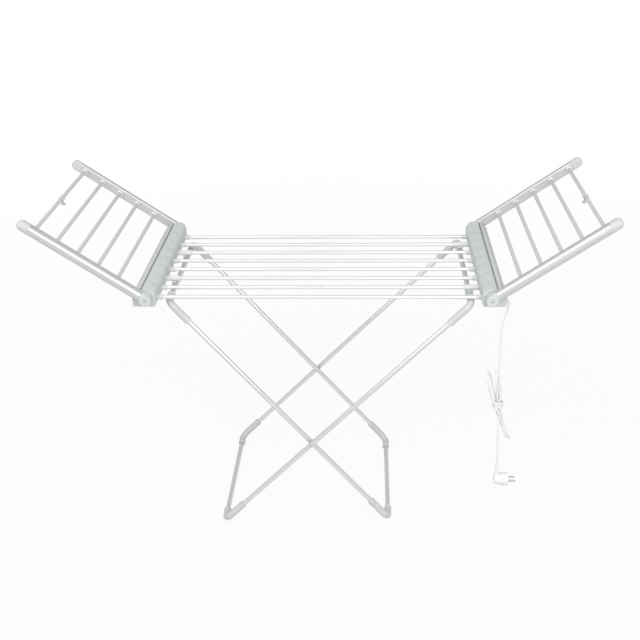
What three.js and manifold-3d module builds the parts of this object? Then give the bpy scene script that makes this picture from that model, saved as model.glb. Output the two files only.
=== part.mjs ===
// Heated clothes airer: two crossed leg frames carry a panel of eight warm bars, with a folding wing on each side.
// Millimetres, +Z up, origin on the floor under the middle of the panel. +X points to the right wing, -Y to the front.
import * as THREE from "three";
import { mergeVertices } from "three/addons/utils/BufferGeometryUtils.js";
import Module from "manifold-3d";

const wasm = await Module();
wasm.setup();

// Overall layout
const pivotSpan = 860; // from one wing hinge to the other
const pivotHeight = 697; // of the wing hinges over the floor
const railSpan = 521; // between the centre lines of a wing's two rails
const wingTilt = THREE.MathUtils.degToRad(34.5); // the opened wing over the horizontal
const legTopInset = 46; // from each wing hinge to the top bar of a leg frame
const innerFootReach = 182; // the inner frame stands this far right of the middle
const outerFootReach = 272; // the outer frame stands this far left of the middle
const innerLegSpan = 418; // between the side tubes of the inner frame
const legFrameGap = 3; // between the side tubes of the two frames where they cross

// Warm bars of the panel and the wings
const barDiameter = 10;
const barWall = 1.2;
const panelBarCount = 8;
const panelBarPitch = 62;
const panelBarDrop = 11.5; // below the wing hinges
const wingBarCount = 6;
const wingBarPitch = 57.8;
const wingBarInset = 28; // the bar nearest the hinge, measured along the rail

// Wing rails and their hinge ends
const railDiameter = 27;
const railWall = 1.5;
const railReach = 346; // hinge to the middle of the tip's round end
const tipLength = 16; // straight part of the moulded tip
const tipStep = 1; // the tip's rim slopes over this length
const collarDiameter = 13; // socket round the end of a wing bar, on all but the bar nearest the hinge
const collarLength = 6.5;
const wingBarSeat = 4; // a wing bar reaches this far into the rail
const hingeLength = 19; // hinge to the start of the rail's tube
const discDiameter = 28; // flat-sided round end of a hinge piece and of a tip
const discBevel = 1.2;
const hingePinDiameter = 8;
const hingePinLength = 11;
const hingeSpigot = 22; // plugs into the rail
const screwHeadDiameter = 7.2;
const screwHeadHeight = 1;

// End housings: a moulded tray with a rounded cover round the hinge axis
const coverRadius = 20.5;
const housingWall = 2;
const housingDepth = 25; // hinge axis to the tray's floor
const housingReach = 37; // hinge axis to the tray's outer wall
const trayInset = 18.2; // hinge axis to the tray's inner wall, behind the cover
const trayWallTop = 8; // the tray's inner wall ends this far below the hinge axis
const coverSkirt = 14; // the cover's inner wall ends this far below the hinge axis
const ledgeSlope = THREE.MathUtils.degToRad(12.4); // the ledge falls outward, under the wing's first bar
const ledgeBreak = 20; // it is level up to here
const ledgeLip = 7; // it runs this far in under the cover
const trayChamfer = 2;
const trayTopChamfer = 1;
const trayHeel = 4; // chamfer under the cover
const endPlate = 4.5;
const ferruleDiameter = 12;
const ferruleReach = 15.8; // how far a bar's ferrule stands out of the tray wall
const archDiameter = 15.2; // cut-out in the cover over each ferrule
const barEntry = 6; // how far a panel bar runs on behind the tray wall
const cordHoleLength = 20;

// Clips that hang from the panel bars and hold the leg frames
const legBarDrop = 16.5; // below the panel bars
const clipSleeveDiameter = 14.5;
const clipSleeveStart = 14; // the sleeve starts this far inboard of the leg bar
const clipRingWall = 3.7;
const clipWidth = 14;
const clipWebWidth = 7;
const clipWebStart = 1.85; // the web between sleeve and ring starts this far outboard of the leg bar
const clipWebFoot = 3.4; // and ends this far above it
const hookEnd = THREE.MathUtils.degToRad(85); // an open hook ends this far above and below its outer side
const snapMouth = THREE.MathUtils.degToRad(60); // opening of a snap ring
const snapMouthAt = THREE.MathUtils.degToRad(225); // its direction from the leg bar

// Leg frames
const legDiameter = 13;
const legWall = 1.2;
const elbowDiameter = 19;
const elbowCollarDiameter = 20.2;
const elbowCollarLength = 7;
const elbowBevel = 1.4;
const elbowBend = 20; // radius of the bend's centre line
const elbowLegArm = 60;
const elbowBarArm = 48;
const elbowFloor = 24; // the tubes stop this far from the corner
const footFlat = 0.5; // moulded flat under each foot
const rivetDiameter = 6;
const rivetHeadDiameter = 10;
const rivetHeadHeight = 1.6;
const spacerDiameter = 12;

// Swivel hooks on the outermost wing bars
const hookRingDiameter = 15;
const hookWidth = 14;
const hookTail = 17; // bar centre to the hook's toe
const hookTailThickness = 4.5;
const hookTailShift = 0.45; // its middle lies this far to the left of the bar
const hookToe = 5;
const hookToeHeight = 3;
const hookGap = THREE.MathUtils.degToRad(70);
const hookGapAt = THREE.MathUtils.degToRad(45); // direction of the gap from the bar

// Inside the housings
const heatCableDiameter = 5;
const heatCableExit = 3; // straight stretch past the end of a bar
const heatCableTurn = 15; // radius of the turns towards the terminal block
const heatReturnOffset = 28.5; // the return run lies this far outside the hinge axis
const blockLength = 34;
const blockWidth = 12;
const blockHeight = 24;
const blockStart = -222; // the block's front end
const terminalDiameter = 6;
const terminalHeight = 3;
const terminalCount = 3;
const fuseDiameter = 6;
const fuseLength = 18;
const fuseRise = 1.5; // its middle over the top of the block

// Cord, hank and plug
const cordDiameter = 5.2;
const cordPlane = -236; // the cord leaves the housing and falls in this plane across Y
const cordExit = new THREE.Vector2(467, 690); // X and Z where it passes the tray's outer wall
const cordExitFall = THREE.MathUtils.degToRad(45); // it leaves this far below the horizontal
const cordExitBend = 21; // radius of the curve outside the wall
const cordExitTurn = THREE.MathUtils.degToRad(60);
const cordInside = [
  [458.5, -222.3, 695],
  [458.5, -227, 695.2],
  [459.3, -231.5, 695],
  [461.4, -235, 694.6],
];
const cordFall = [
  [471.6, 653],
  [463.6, 619],
  [461, 588],
  [460.8, 558],
  [461.6, 500],
  [463.4, 456],
  [467.4, 437],
  [469.1, 429.5],
];
const reliefStraight = 3.4; // the cord runs straight this far inside and outside the wall's outer face
const reliefOutside = 24;
const reliefDiameter = 9.6;
const reliefTip = 7.4;
const reliefBore = 6.6;
const reliefGroove = 0.7;
const hankWaist = new THREE.Vector3(464, -232.4, 386); // middle of the binding turns
const hankHalf = 3.6; // half the width of a loop where it is tied, front to back
const hankFold = 15.6; // radius of a loop's end
const hankStep = 3.4; // from one strand of the hank to the next, right to left
const hankRun = 12.5; // the strands run straight this far above and below the waist
// Each loop in turn: its reach from the waist, down or up, and its slant to the right.
const hankLoops = [
  [-99, 0.35],
  [94, -0.123],
  [-95, 0.35],
  [94, -0.258],
];
const hankEntry = 38; // straight stretch above the waist
const wrapRadius = 12.2;
const wrapPitch = 6;
const wrapStart = THREE.MathUtils.degToRad(242);
const wrapEnd = THREE.MathUtils.degToRad(1315);
const wrapBendRadius = 11; // of the bends into and out of the binding turns
const hankNeighbour = 15.6; // stretches closer than this along the cord aren't held apart
const tailRun = 6; // straight stretch below the binding turns
const tailShift = 3; // the tail ends this far to the right of its start
const plugNeckTop = 214;
const plugFaceDiameter = 37;
const plugFaceLength = 11.5;
const plugBackDiameter = 25;
const plugBackLength = 27;
const plugNeckDiameter = 13;
const plugNeckTip = 8.4;
const plugAxisDrop = 47; // neck's top to the axis of the face
const plugCordOffset = 7; // the cord lies this far in front of the plug's back
const plugChamfer = 2;
const plugRim = 1;
const pinDiameter = 4.8;
const pinLength = 19;
const pinPoint = 1.2; // rounding at the tip of a pin, and its depth in the plug
const pinSpacing = 19;

// Fits
const clearance = 0.3;
const overrun = 5; // a cutting tool runs this far past what it cuts

// Facets
const tubeSides = 12;
const barSides = 10;
const railSides = 16;
const discSides = 20;
const elbowSides = 10;
const collarSides = 8;
const smallSides = 10;
const cordSides = 8;
const hankSides = 6;
const bendSteps = 4;
const turnSteps = 6;
const loopSteps = 14; // along each loop of the hank
const wrapSteps = 20; // along each binding turn
const tailSteps = 8;
const supplyCordSteps = 34;
const reliefSteps = 10;
const coverSteps = 10;
const gapSamples = 900;

const pivotX = pivotSpan / 2;
const railY = railSpan / 2;
const barRadius = barDiameter / 2;
const legRadius = legDiameter / 2;
const legTopSpan = pivotSpan - 2 * legTopInset;
const outerLegSpan = innerLegSpan + 2 * (legDiameter + legFrameGap);
const railRadius = railDiameter / 2;
const panelBarHeight = pivotHeight - panelBarDrop;
const legTopHeight = panelBarHeight - legBarDrop;
const footHeight = elbowDiameter / 2 - footFlat;
const housingEnd = railY - railRadius - clearance; // the outer face of an end plate
const restBar = new THREE.Vector2(Math.cos(wingTilt), Math.sin(wingTilt)).multiplyScalar(wingBarInset);
const ledgeUnderBar = restBar.y - (barRadius + clearance) / Math.cos(ledgeSlope);
const ledgeInner = ledgeUnderBar + (restBar.x - ledgeBreak) * Math.tan(ledgeSlope);
const ledgeOuter = ledgeInner - (housingReach - ledgeBreak) * Math.tan(ledgeSlope);
const panelBarY = (index) => (index - (panelBarCount - 1) / 2) * panelBarPitch;
const wingBarX = (index) => wingBarInset + (wingBarCount - 1 - index) * wingBarPitch;

const point = (x, y, z) => new THREE.Vector3(x, y, z);
const finish = (color, roughness, metalness) =>
  new THREE.MeshStandardMaterial({ color, roughness, metalness });
const silver = finish(0xd9dbdb, 0.34, 0.75);
const tubeGrey = finish(0xc6c8c8, 0.4, 0.6);
const housingGrey = finish(0xc9cecc, 0.55, 0);
const fittingGrey = finish(0xd6d9d8, 0.5, 0);
const cordWhite = finish(0xe9e9e6, 0.6, 0);
const cableRed = finish(0xa33a30, 0.6, 0);
const blockCream = finish(0xe6e0cf, 0.5, 0);

// A closed geometry as a solid with its faces pointing out.
function solidOf(geometry) {
  const bare = geometry.index ? geometry.toNonIndexed() : geometry.clone();
  bare.deleteAttribute("normal");
  bare.deleteAttribute("uv");
  const merged = mergeVertices(bare);
  const make = (triVerts) =>
    new wasm.Manifold(
      new wasm.Mesh({ numProp: 3, vertProperties: merged.attributes.position.array, triVerts }),
    );
  const solid = make(new Uint32Array(merged.index.array));
  if (solid.volume() > 0) return solid;
  return make(new Uint32Array(merged.index.array).reverse());
}

const join = (...solids) => solids.reduce((whole, solid) => whole.add(solid));
const cut = (solid, ...tools) => tools.reduce((rest, tool) => rest.subtract(tool), solid);

// A solid turned about the line from start to end. The outline holds radii and distances from the start.
function turned(outline, start, end, sides) {
  const geometry = new THREE.LatheGeometry(
    outline.map(([radius, distance]) => new THREE.Vector2(radius, distance)),
    sides,
  );
  const direction = end.clone().sub(start).normalize();
  const turn = new THREE.Quaternion().setFromUnitVectors(new THREE.Vector3(0, 1, 0), direction);
  return solidOf(geometry.applyQuaternion(turn).translate(start.x, start.y, start.z));
}

function rod(start, end, diameter, sides) {
  const radius = diameter / 2;
  const length = start.distanceTo(end);
  return turned([[0, 0], [radius, 0], [radius, length], [0, length]], start, end, sides);
}

function pipe(start, end, diameter, wall, sides) {
  const outer = diameter / 2;
  const inner = outer - wall;
  const length = start.distanceTo(end);
  const outline = [[inner, 0], [outer, 0], [outer, length], [inner, length], [inner, 0]];
  return turned(outline, start, end, sides);
}

// A solid drawn in the X-Z plane and pulled along Y between two places.
function prism(shape, from, to, curveSegments = bendSteps) {
  const geometry = new THREE.ExtrudeGeometry(shape, {
    depth: to - from,
    bevelEnabled: false,
    curveSegments,
  });
  return solidOf(geometry.rotateX(Math.PI / 2).translate(0, to, 0));
}

const outlineShape = (points) => new THREE.Shape(points.map(([x, z]) => new THREE.Vector2(x, z)));

function ringShape(outer, inner, from, to) {
  const shape = new THREE.Shape();
  shape.absarc(0, 0, outer, from, to, false);
  shape.absarc(0, 0, inner, to, from, true);
  shape.closePath();
  return shape;
}

// A closed tube through the given places, each with its own radius, on frames that don't twist.
function lofted(places, radii, sides) {
  const tangents = places.map((place, i) => {
    const before = places[Math.max(i - 1, 0)];
    const after = places[Math.min(i + 1, places.length - 1)];
    return after.clone().sub(before).normalize();
  });
  const first = tangents[0];
  const helper = Math.abs(first.z) < Math.abs(first.y) ? point(0, 0, 1) : point(0, 1, 0);
  let side = new THREE.Vector3().crossVectors(first, helper).normalize();
  const vertices = [];
  places.forEach((place, i) => {
    if (i > 0) {
      const bend = new THREE.Quaternion().setFromUnitVectors(tangents[i - 1], tangents[i]);
      side = side.clone().applyQuaternion(bend).normalize();
    }
    const other = new THREE.Vector3().crossVectors(tangents[i], side);
    for (let k = 0; k < sides; k++) {
      const angle = (2 * Math.PI * (k + 0.5)) / sides;
      vertices.push(
        place
          .clone()
          .addScaledVector(side, radii[i] * Math.cos(angle))
          .addScaledVector(other, radii[i] * Math.sin(angle)),
      );
    }
  });
  const faces = [];
  for (let i = 0; i < places.length - 1; i++)
    for (let k = 0; k < sides; k++) {
      const a = i * sides + k;
      const b = i * sides + ((k + 1) % sides);
      faces.push(a, b, b + sides, a, b + sides, a + sides);
    }
  const last = (places.length - 1) * sides;
  for (let k = 1; k < sides - 1; k++) {
    faces.push(0, k + 1, k);
    faces.push(last, last + k, last + k + 1);
  }
  const geometry = new THREE.BufferGeometry().setFromPoints(vertices);
  geometry.setIndex(faces);
  return solidOf(geometry);
}

const evenly = (radius, places) => places.map(() => radius);

// A named mesh of a solid, in its parent's frame.
function addPiece(parent, name, solid, material) {
  const { vertProperties, triVerts } = solid.getMesh();
  const geometry = new THREE.BufferGeometry();
  geometry.setAttribute("position", new THREE.BufferAttribute(vertProperties, 3));
  geometry.setIndex(new THREE.BufferAttribute(triVerts, 1));
  geometry.computeVertexNormals();
  const mesh = new THREE.Mesh(geometry, material);
  mesh.name = name;
  parent.add(mesh);
}

function addGroup(parent, x, y, z) {
  const group = new THREE.Group();
  group.position.set(x, y, z);
  parent.add(group);
  return group;
}

// Housing outlines, drawn with X pointing away from the panel and the hinge axis at the origin.
function coverOutline() {
  const outer = coverRadius;
  const inner = coverRadius - housingWall;
  const foot = ledgeInner + clearance;
  const shape = new THREE.Shape();
  shape.moveTo(-outer, -coverSkirt);
  shape.lineTo(-outer, 0);
  shape.absarc(0, 0, outer, Math.PI, Math.asin(foot / outer), true);
  shape.absarc(0, 0, inner, Math.asin(foot / inner), Math.PI, false);
  shape.lineTo(-inner, -coverSkirt);
  shape.closePath();
  return shape;
}

function trayOutline() {
  const step = -coverSkirt - clearance;
  const reach = housingReach;
  const floor = -housingDepth;
  const ledgeInside = coverRadius - ledgeLip;
  return outlineShape([
    [-trayInset, -trayWallTop],
    [-trayInset, step],
    [-coverRadius, step],
    [-coverRadius, floor + trayHeel],
    [-coverRadius + trayHeel, floor],
    [reach - trayChamfer, floor],
    [reach, floor + trayChamfer],
    [reach, ledgeOuter - trayTopChamfer],
    [reach - trayTopChamfer, ledgeOuter],
    [ledgeBreak, ledgeInner],
    [ledgeInside, ledgeInner],
    [ledgeInside, ledgeInner - housingWall],
    [ledgeBreak, ledgeInner - housingWall],
    [reach - housingWall, ledgeOuter - housingWall],
    [reach - housingWall, floor + housingWall],
    [-trayInset + housingWall, floor + housingWall],
    [-trayInset + housingWall, -trayWallTop],
  ]);
}

function endPlateOutline() {
  const reach = housingReach;
  const floor = -housingDepth;
  const shape = new THREE.Shape();
  shape.moveTo(-coverRadius, 0);
  shape.absarc(0, 0, coverRadius, Math.PI, Math.asin(ledgeInner / coverRadius), true);
  shape.lineTo(ledgeBreak, ledgeInner);
  shape.lineTo(reach - trayTopChamfer, ledgeOuter);
  shape.lineTo(reach, ledgeOuter - trayTopChamfer);
  shape.lineTo(reach, floor + trayChamfer);
  shape.lineTo(reach - trayChamfer, floor);
  shape.lineTo(-coverRadius + trayHeel, floor);
  shape.lineTo(-coverRadius, floor + trayHeel);
  shape.closePath();
  return shape;
}

function panelBarPlaces() {
  return Array.from({ length: panelBarCount }, (_, index) => panelBarY(index));
}

function housingCover() {
  const half = housingEnd - endPlate - clearance;
  const shell = prism(coverOutline(), -half, half, coverSteps);
  const arches = panelBarPlaces().map((y) =>
    rod(
      point(-coverRadius - overrun, y, -panelBarDrop),
      point(-trayInset, y, -panelBarDrop),
      archDiameter,
      tubeSides,
    ),
  );
  return cut(shell, ...arches);
}

function housingTray(withCord) {
  const inner = housingEnd - endPlate;
  const hinge = rod(
    point(0, -housingEnd - overrun, 0),
    point(0, housingEnd + overrun, 0),
    hingePinDiameter + 2 * clearance,
    railSides,
  );
  const ferrules = panelBarPlaces().map((y) =>
    rod(
      point(-trayInset - ferruleReach, y, -panelBarDrop),
      point(-trayInset + housingWall, y, -panelBarDrop),
      ferruleDiameter,
      barSides,
    ),
  );
  const bores = panelBarPlaces().map((y) =>
    rod(
      point(-trayInset - ferruleReach - overrun, y, -panelBarDrop),
      point(-trayInset + housingWall + overrun, y, -panelBarDrop),
      barDiameter + 2 * clearance,
      barSides,
    ),
  );
  const plates = [-1, 1].map((side) =>
    prism(
      endPlateOutline(),
      side < 0 ? -housingEnd : inner,
      side < 0 ? -inner : housingEnd,
      coverSteps,
    ),
  );
  const tray = join(prism(trayOutline(), -inner, inner), ...plates, ...ferrules);
  if (!withCord) return cut(tray, hinge, ...bores);
  const exit = point(cordExit.x - pivotX, cordPlane, cordExit.y - pivotHeight);
  const heading = point(Math.cos(cordExitFall), 0, -Math.sin(cordExitFall));
  const cordHole = rod(
    exit.clone().addScaledVector(heading, -cordHoleLength / 2),
    exit.clone().addScaledVector(heading, cordHoleLength / 2),
    reliefDiameter + 2 * clearance,
    tubeSides,
  );
  return cut(tray, hinge, cordHole, ...bores);
}

function addHousing(parent, name, side) {
  const group = addGroup(parent, side * pivotX, 0, pivotHeight);
  group.rotation.z = side < 0 ? Math.PI : 0;
  addPiece(group, name + "_housing_base", housingTray(side > 0), housingGrey);
  addPiece(group, name + "_housing_cover", housingCover(), housingGrey);
}

function addPanelBars(parent) {
  const end = pivotX - trayInset + barEntry;
  panelBarPlaces().forEach((y, index) => {
    const bar = pipe(
      point(-end, y, panelBarHeight),
      point(end, y, panelBarHeight),
      barDiameter,
      barWall,
      barSides,
    );
    addPiece(parent, "centre_bar_" + (index + 1), bar, silver);
  });
}

// A clip: a sleeve on a panel bar and its ferrule, over a ring or an open hook round the leg frame's top bar.
function legClip(isOpen) {
  const outer = legRadius + clearance + clipRingWall;
  const inner = legRadius + clearance;
  const ferruleEnd = pivotX - trayInset - ferruleReach - legTopSpan / 2 - clearance;
  const sleeveEnd = pivotX - coverRadius - legTopSpan / 2 - clearance;
  const ring = isOpen
    ? ringShape(outer, inner, -hookEnd, hookEnd)
    : ringShape(outer, inner, snapMouthAt + snapMouth / 2 - 2 * Math.PI, snapMouthAt - snapMouth / 2);
  const along = (x) => point(x, 0, legBarDrop);
  const sleeve = rod(along(-clipSleeveStart), along(sleeveEnd), clipSleeveDiameter, tubeSides);
  const web = prism(
    outlineShape([
      [clipWebStart, inner + clearance],
      [outer, clipWebFoot],
      [outer, legBarDrop],
      [clipWebStart, legBarDrop],
    ]),
    -clipWebWidth / 2,
    clipWebWidth / 2,
  );
  const hole = barDiameter + 2 * clearance;
  const bore = rod(along(-clipSleeveStart - overrun), along(sleeveEnd + overrun), hole, barSides);
  const seatHole = ferruleDiameter + 2 * clearance;
  const seat = rod(along(ferruleEnd), along(sleeveEnd + overrun), seatHole, barSides);
  const round = rod(point(0, -clipWidth, 0), point(0, clipWidth, 0), 2 * inner, railSides);
  const body = join(prism(ring, -clipWidth / 2, clipWidth / 2, tubeSides), sleeve, cut(web, round));
  return cut(body, bore, seat);
}

// Clips hang from the outermost panel bars that leave the elbows of the leg frame clear.
function addClips(parent) {
  const frames = [
    ["left_clip", -1, innerLegSpan, true],
    ["right_clip", 1, outerLegSpan, false],
  ];
  for (const [name, side, span, isOpen] of frames) {
    const room = span / 2 - elbowBarArm - clearance - clipWidth / 2;
    const reach = Math.max(...panelBarPlaces().filter((y) => y < room));
    for (const [where, y] of [["near", -reach], ["far", reach]]) {
      const group = addGroup(parent, (side * legTopSpan) / 2, y, legTopHeight);
      group.rotation.z = side < 0 ? Math.PI : 0;
      addPiece(group, name + "_" + where, legClip(isOpen), fittingGrey);
    }
  }
}

// A round end with flat sides, on an axis along Y.
function flatDisc(x, y) {
  const radius = discDiameter / 2;
  const half = railRadius - clearance;
  const outline = [
    [0, 0],
    [radius - discBevel, 0],
    [radius, discBevel],
    [radius, 2 * half - discBevel],
    [radius - discBevel, 2 * half],
    [0, 2 * half],
  ];
  return turned(outline, point(x, y - half, 0), point(x, y + half, 0), discSides);
}

// The rail's hollow tube and its flat-sided tip, along X from the hinge, with a socket for each wing bar.
function wingRail(side) {
  const y = side * railY;
  const bore = railRadius - railWall;
  const tip = discDiameter / 2;
  const shoulder = railReach - tipLength;
  const outline = [
    [0, railReach],
    [tip, railReach],
    [tip, shoulder],
    [railRadius, shoulder - tipStep],
    [railRadius, hingeLength],
    [bore, hingeLength],
    [bore, shoulder],
    [0, shoulder],
  ];
  const tube = turned(outline, point(0, y, 0), point(railReach, y, 0), railSides);
  const across = (x, depth) => point(x, y - side * depth, 0);
  const sockets = [];
  const holes = [];
  for (let index = 0; index < wingBarCount; index++) {
    const x = wingBarX(index);
    const face = railRadius + collarLength;
    if (index < wingBarCount - 1)
      sockets.push(rod(across(x, bore - clearance), across(x, face), collarDiameter, collarSides));
    const hole = barDiameter + 2 * clearance;
    holes.push(rod(across(x, bore - overrun), across(x, face + overrun), hole, barSides));
  }
  const hollow = rod(point(hingeLength, y, 0), point(shoulder, y, 0), 2 * bore, railSides);
  return cut(join(tube, flatDisc(railReach, y), cut(join(...sockets), hollow)), ...holes);
}

// The moulded hinge end of a rail: a flat disc on the hinge axis, a round body and a plug into the tube.
function railHinge(side) {
  const y = side * railY;
  const face = railRadius - clearance;
  const body = rod(point(0, y, 0), point(hingeLength - clearance, y, 0), railDiameter, railSides);
  const plugDiameter = railDiameter - 2 * railWall - 2 * clearance;
  const plug = rod(
    point(hingeLength - overrun, y, 0),
    point(hingeLength + hingeSpigot, y, 0),
    plugDiameter,
    collarSides,
  );
  const pinEnd = point(0, y - side * (face + hingePinLength), 0);
  const pin = rod(point(0, y, 0), pinEnd, hingePinDiameter, railSides);
  const screwEnd = point(0, y + side * (face + screwHeadHeight), 0);
  const screw = rod(point(0, y, 0), screwEnd, screwHeadDiameter, railSides);
  const barHole = rod(
    point(wingBarInset, y - side * (railRadius + overrun), 0),
    point(wingBarInset, y - side * (railRadius - wingBarSeat - clearance), 0),
    barDiameter + 2 * clearance,
    barSides,
  );
  return cut(join(flatDisc(0, y), body, plug, pin, screw), barHole);
}

function swivelHook() {
  const outer = hookRingDiameter / 2;
  const inner = barRadius + clearance;
  const start = hookGapAt + hookGap / 2;
  const ring = prism(
    ringShape(outer, inner, start, start + 2 * Math.PI - hookGap),
    -hookWidth / 2,
    hookWidth / 2,
    railSides,
  );
  const left = -hookTailThickness / 2 - hookTailShift;
  const right = hookTailThickness / 2 - hookTailShift;
  const top = -(inner + outer) / 2;
  const tail = prism(
    outlineShape([
      [right, top],
      [right, -hookTail],
      [left - hookToe, -hookTail],
      [left - hookToe, -hookTail + hookToeHeight],
      [left, -hookTail + hookToeHeight],
      [left, top],
    ]),
    -hookWidth / 2,
    hookWidth / 2,
  );
  return join(ring, tail);
}

function addWing(parent, name, side) {
  const group = addGroup(parent, side * pivotX, 0, pivotHeight);
  group.rotation.order = "ZYX";
  group.rotation.z = side < 0 ? Math.PI : 0;
  group.rotation.y = -wingTilt;
  for (const where of ["near", "far"]) {
    const worldSide = where === "near" ? -1 : 1;
    const localSide = worldSide * side;
    addPiece(group, name + "_wing_rail_" + where, wingRail(localSide), silver);
    addPiece(group, name + "_wing_hinge_" + where, railHinge(localSide), fittingGrey);
  }
  const end = railY - railRadius + wingBarSeat;
  for (let index = 0; index < wingBarCount; index++) {
    const x = wingBarX(index);
    const bar = pipe(point(x, -end, 0), point(x, end, 0), barDiameter, barWall, barSides);
    addPiece(group, name + "_wing_bar_" + (index + 1), bar, tubeGrey);
  }
  const hanger = addGroup(group, wingBarX(0), 0, 0);
  hanger.rotation.y = wingTilt;
  addPiece(hanger, name + "_wing_hook", swivelHook(), fittingGrey);
}

// An elbow round the corner of a leg frame, with one arm on the side tube and one on the cross bar.
function elbow(corner, alongLeg, alongBar) {
  const places = [];
  const radii = [];
  const radius = elbowDiameter / 2;
  const collar = elbowCollarDiameter / 2;
  const addRing = (direction, distance, ringRadius) => {
    places.push(corner.clone().addScaledVector(direction, distance));
    radii.push(ringRadius);
  };
  const armRings = (direction, arm) => {
    const rings = [
      [arm, radius - elbowBevel / 2],
      [arm - elbowBevel, collar],
      [arm - elbowCollarLength, collar],
      [arm - elbowCollarLength - elbowBevel, radius],
    ];
    return rings.map(([distance, ringRadius]) => [direction, distance, ringRadius]);
  };
  armRings(alongLeg, elbowLegArm).forEach((ring) => addRing(...ring));
  const centre = corner.clone().addScaledVector(alongLeg, elbowBend).addScaledVector(alongBar, elbowBend);
  for (let i = 0; i <= bendSteps; i++) {
    const angle = (i / bendSteps) * (Math.PI / 2);
    places.push(
      centre
        .clone()
        .addScaledVector(alongBar, -elbowBend * Math.cos(angle))
        .addScaledVector(alongLeg, -elbowBend * Math.sin(angle)),
    );
    radii.push(radius);
  }
  armRings(alongBar, elbowBarArm)
    .reverse()
    .forEach((ring) => addRing(...ring));
  const bore = (direction, arm) =>
    rod(
      corner.clone().addScaledVector(direction, elbowFloor - clearance),
      corner.clone().addScaledVector(direction, arm + overrun),
      legDiameter + 2 * clearance,
      tubeSides,
    );
  return cut(
    lofted(places, radii, elbowSides),
    bore(alongLeg, elbowLegArm),
    bore(alongBar, elbowBarArm),
  );
}

// Where the two frames cross, as a share of a side tube from its top. It is the same share on both.
const innerRun = point(legTopSpan / 2 + innerFootReach, 0, footHeight - legTopHeight);
const outerRun = point(-legTopSpan / 2 - outerFootReach, 0, footHeight - legTopHeight);
const crossShare = legTopSpan / (innerRun.x - outerRun.x);

// A leg frame lies along X from its top bar. The outer frame carries the rivets on which the inner one turns.
function addLegs(parent, name, topX, run, span, isOuter) {
  const length = run.length();
  const group = addGroup(parent, topX, 0, legTopHeight);
  group.rotation.y = Math.atan2(-run.z, run.x);
  group.updateMatrixWorld(true);
  const floorTool = solidOf(
    new THREE.BoxGeometry(2 * elbowLegArm, 2 * outerLegSpan, 2 * elbowLegArm)
      .translate(topX + run.x, 0, -elbowLegArm)
      .applyMatrix4(group.matrixWorld.clone().invert()),
  );
  const crossing = crossShare * length;
  for (const where of ["near", "far"]) {
    const side = where === "near" ? -1 : 1;
    const y = (side * span) / 2;
    const tube = pipe(
      point(elbowFloor, y, 0),
      point(length - elbowFloor, y, 0),
      legDiameter,
      legWall,
      tubeSides,
    );
    const leg = isOuter ? join(tube, rivet(crossing, side)) : cut(tube, rivetHole(crossing, y));
    addPiece(group, name + "_leg_" + where, leg, tubeGrey);
    const inward = point(0, -side, 0);
    const top = elbow(point(0, y, 0), point(1, 0, 0), inward);
    const foot = elbow(point(length, y, 0), point(-1, 0, 0), inward);
    addPiece(group, name + "_elbow_" + where, top, fittingGrey);
    addPiece(group, name + "_foot_" + where, cut(foot, floorTool), fittingGrey);
  }
  const end = span / 2 - elbowFloor;
  for (const [where, x] of [["top", 0], ["bottom", length]]) {
    const bar = pipe(point(x, -end, 0), point(x, end, 0), legDiameter, legWall, tubeSides);
    addPiece(group, name + "_" + where + "_bar", bar, tubeGrey);
  }
}

function rivet(x, side) {
  const headY = (outerLegSpan + legDiameter) / 2 + rivetHeadHeight;
  const outerInside = (outerLegSpan - legDiameter) / 2;
  const innerOutside = (innerLegSpan + legDiameter) / 2 + clearance;
  const innerInside = (innerLegSpan - legDiameter) / 2 - clearance;
  const place = (y) => point(x, side * y, 0);
  return join(
    rod(place(headY), place(innerInside - rivetHeadHeight), rivetDiameter, tubeSides),
    rod(place(headY), place(headY - rivetHeadHeight - legWall), rivetHeadDiameter, tubeSides),
    rod(place(outerInside + legWall), place(innerOutside), spacerDiameter, tubeSides),
    rod(place(innerInside), place(innerInside - rivetHeadHeight), rivetHeadDiameter, tubeSides),
  );
}

function rivetHole(x, y) {
  const reach = legRadius + overrun;
  return rod(point(x, y - reach, 0), point(x, y + reach, 0), rivetDiameter + 2 * clearance, tubeSides);
}

// The heating cable leaves the terminal block through the first bar, serves them all and comes back behind them.
function heatingCable() {
  const half = panelBarPitch / 2;
  const barEnd = pivotX - trayInset + barEntry + heatCableExit;
  const returnX = pivotX + heatReturnOffset;
  const z = panelBarHeight;
  const places = [];
  const arc = (centreX, centreY, radius, from, to) => {
    for (let i = 0; i <= turnSteps; i++) {
      const angle = from + ((to - from) * i) / turnSteps;
      places.push(point(centreX + radius * Math.cos(angle), centreY + radius * Math.sin(angle), z));
    }
  };
  const firstY = panelBarY(0);
  const lastY = panelBarY(panelBarCount - 1);
  const blockEnd = blockStart + blockLength;
  places.push(point(returnX - blockWidth / 2 - clearance, firstY, z));
  for (let index = 0; index < panelBarCount - 1; index++) {
    const side = index % 2 ? 1 : -1;
    const start = -Math.PI / 2;
    arc(side * barEnd, panelBarY(index) + half, half, start, start + side * Math.PI);
  }
  arc(returnX - heatCableTurn, lastY - heatCableTurn, heatCableTurn, Math.PI / 2, 0);
  places.push(point(returnX, blockEnd + clearance, z));
  return lofted(places, evenly(heatCableDiameter / 2, places), hankSides);
}

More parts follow.
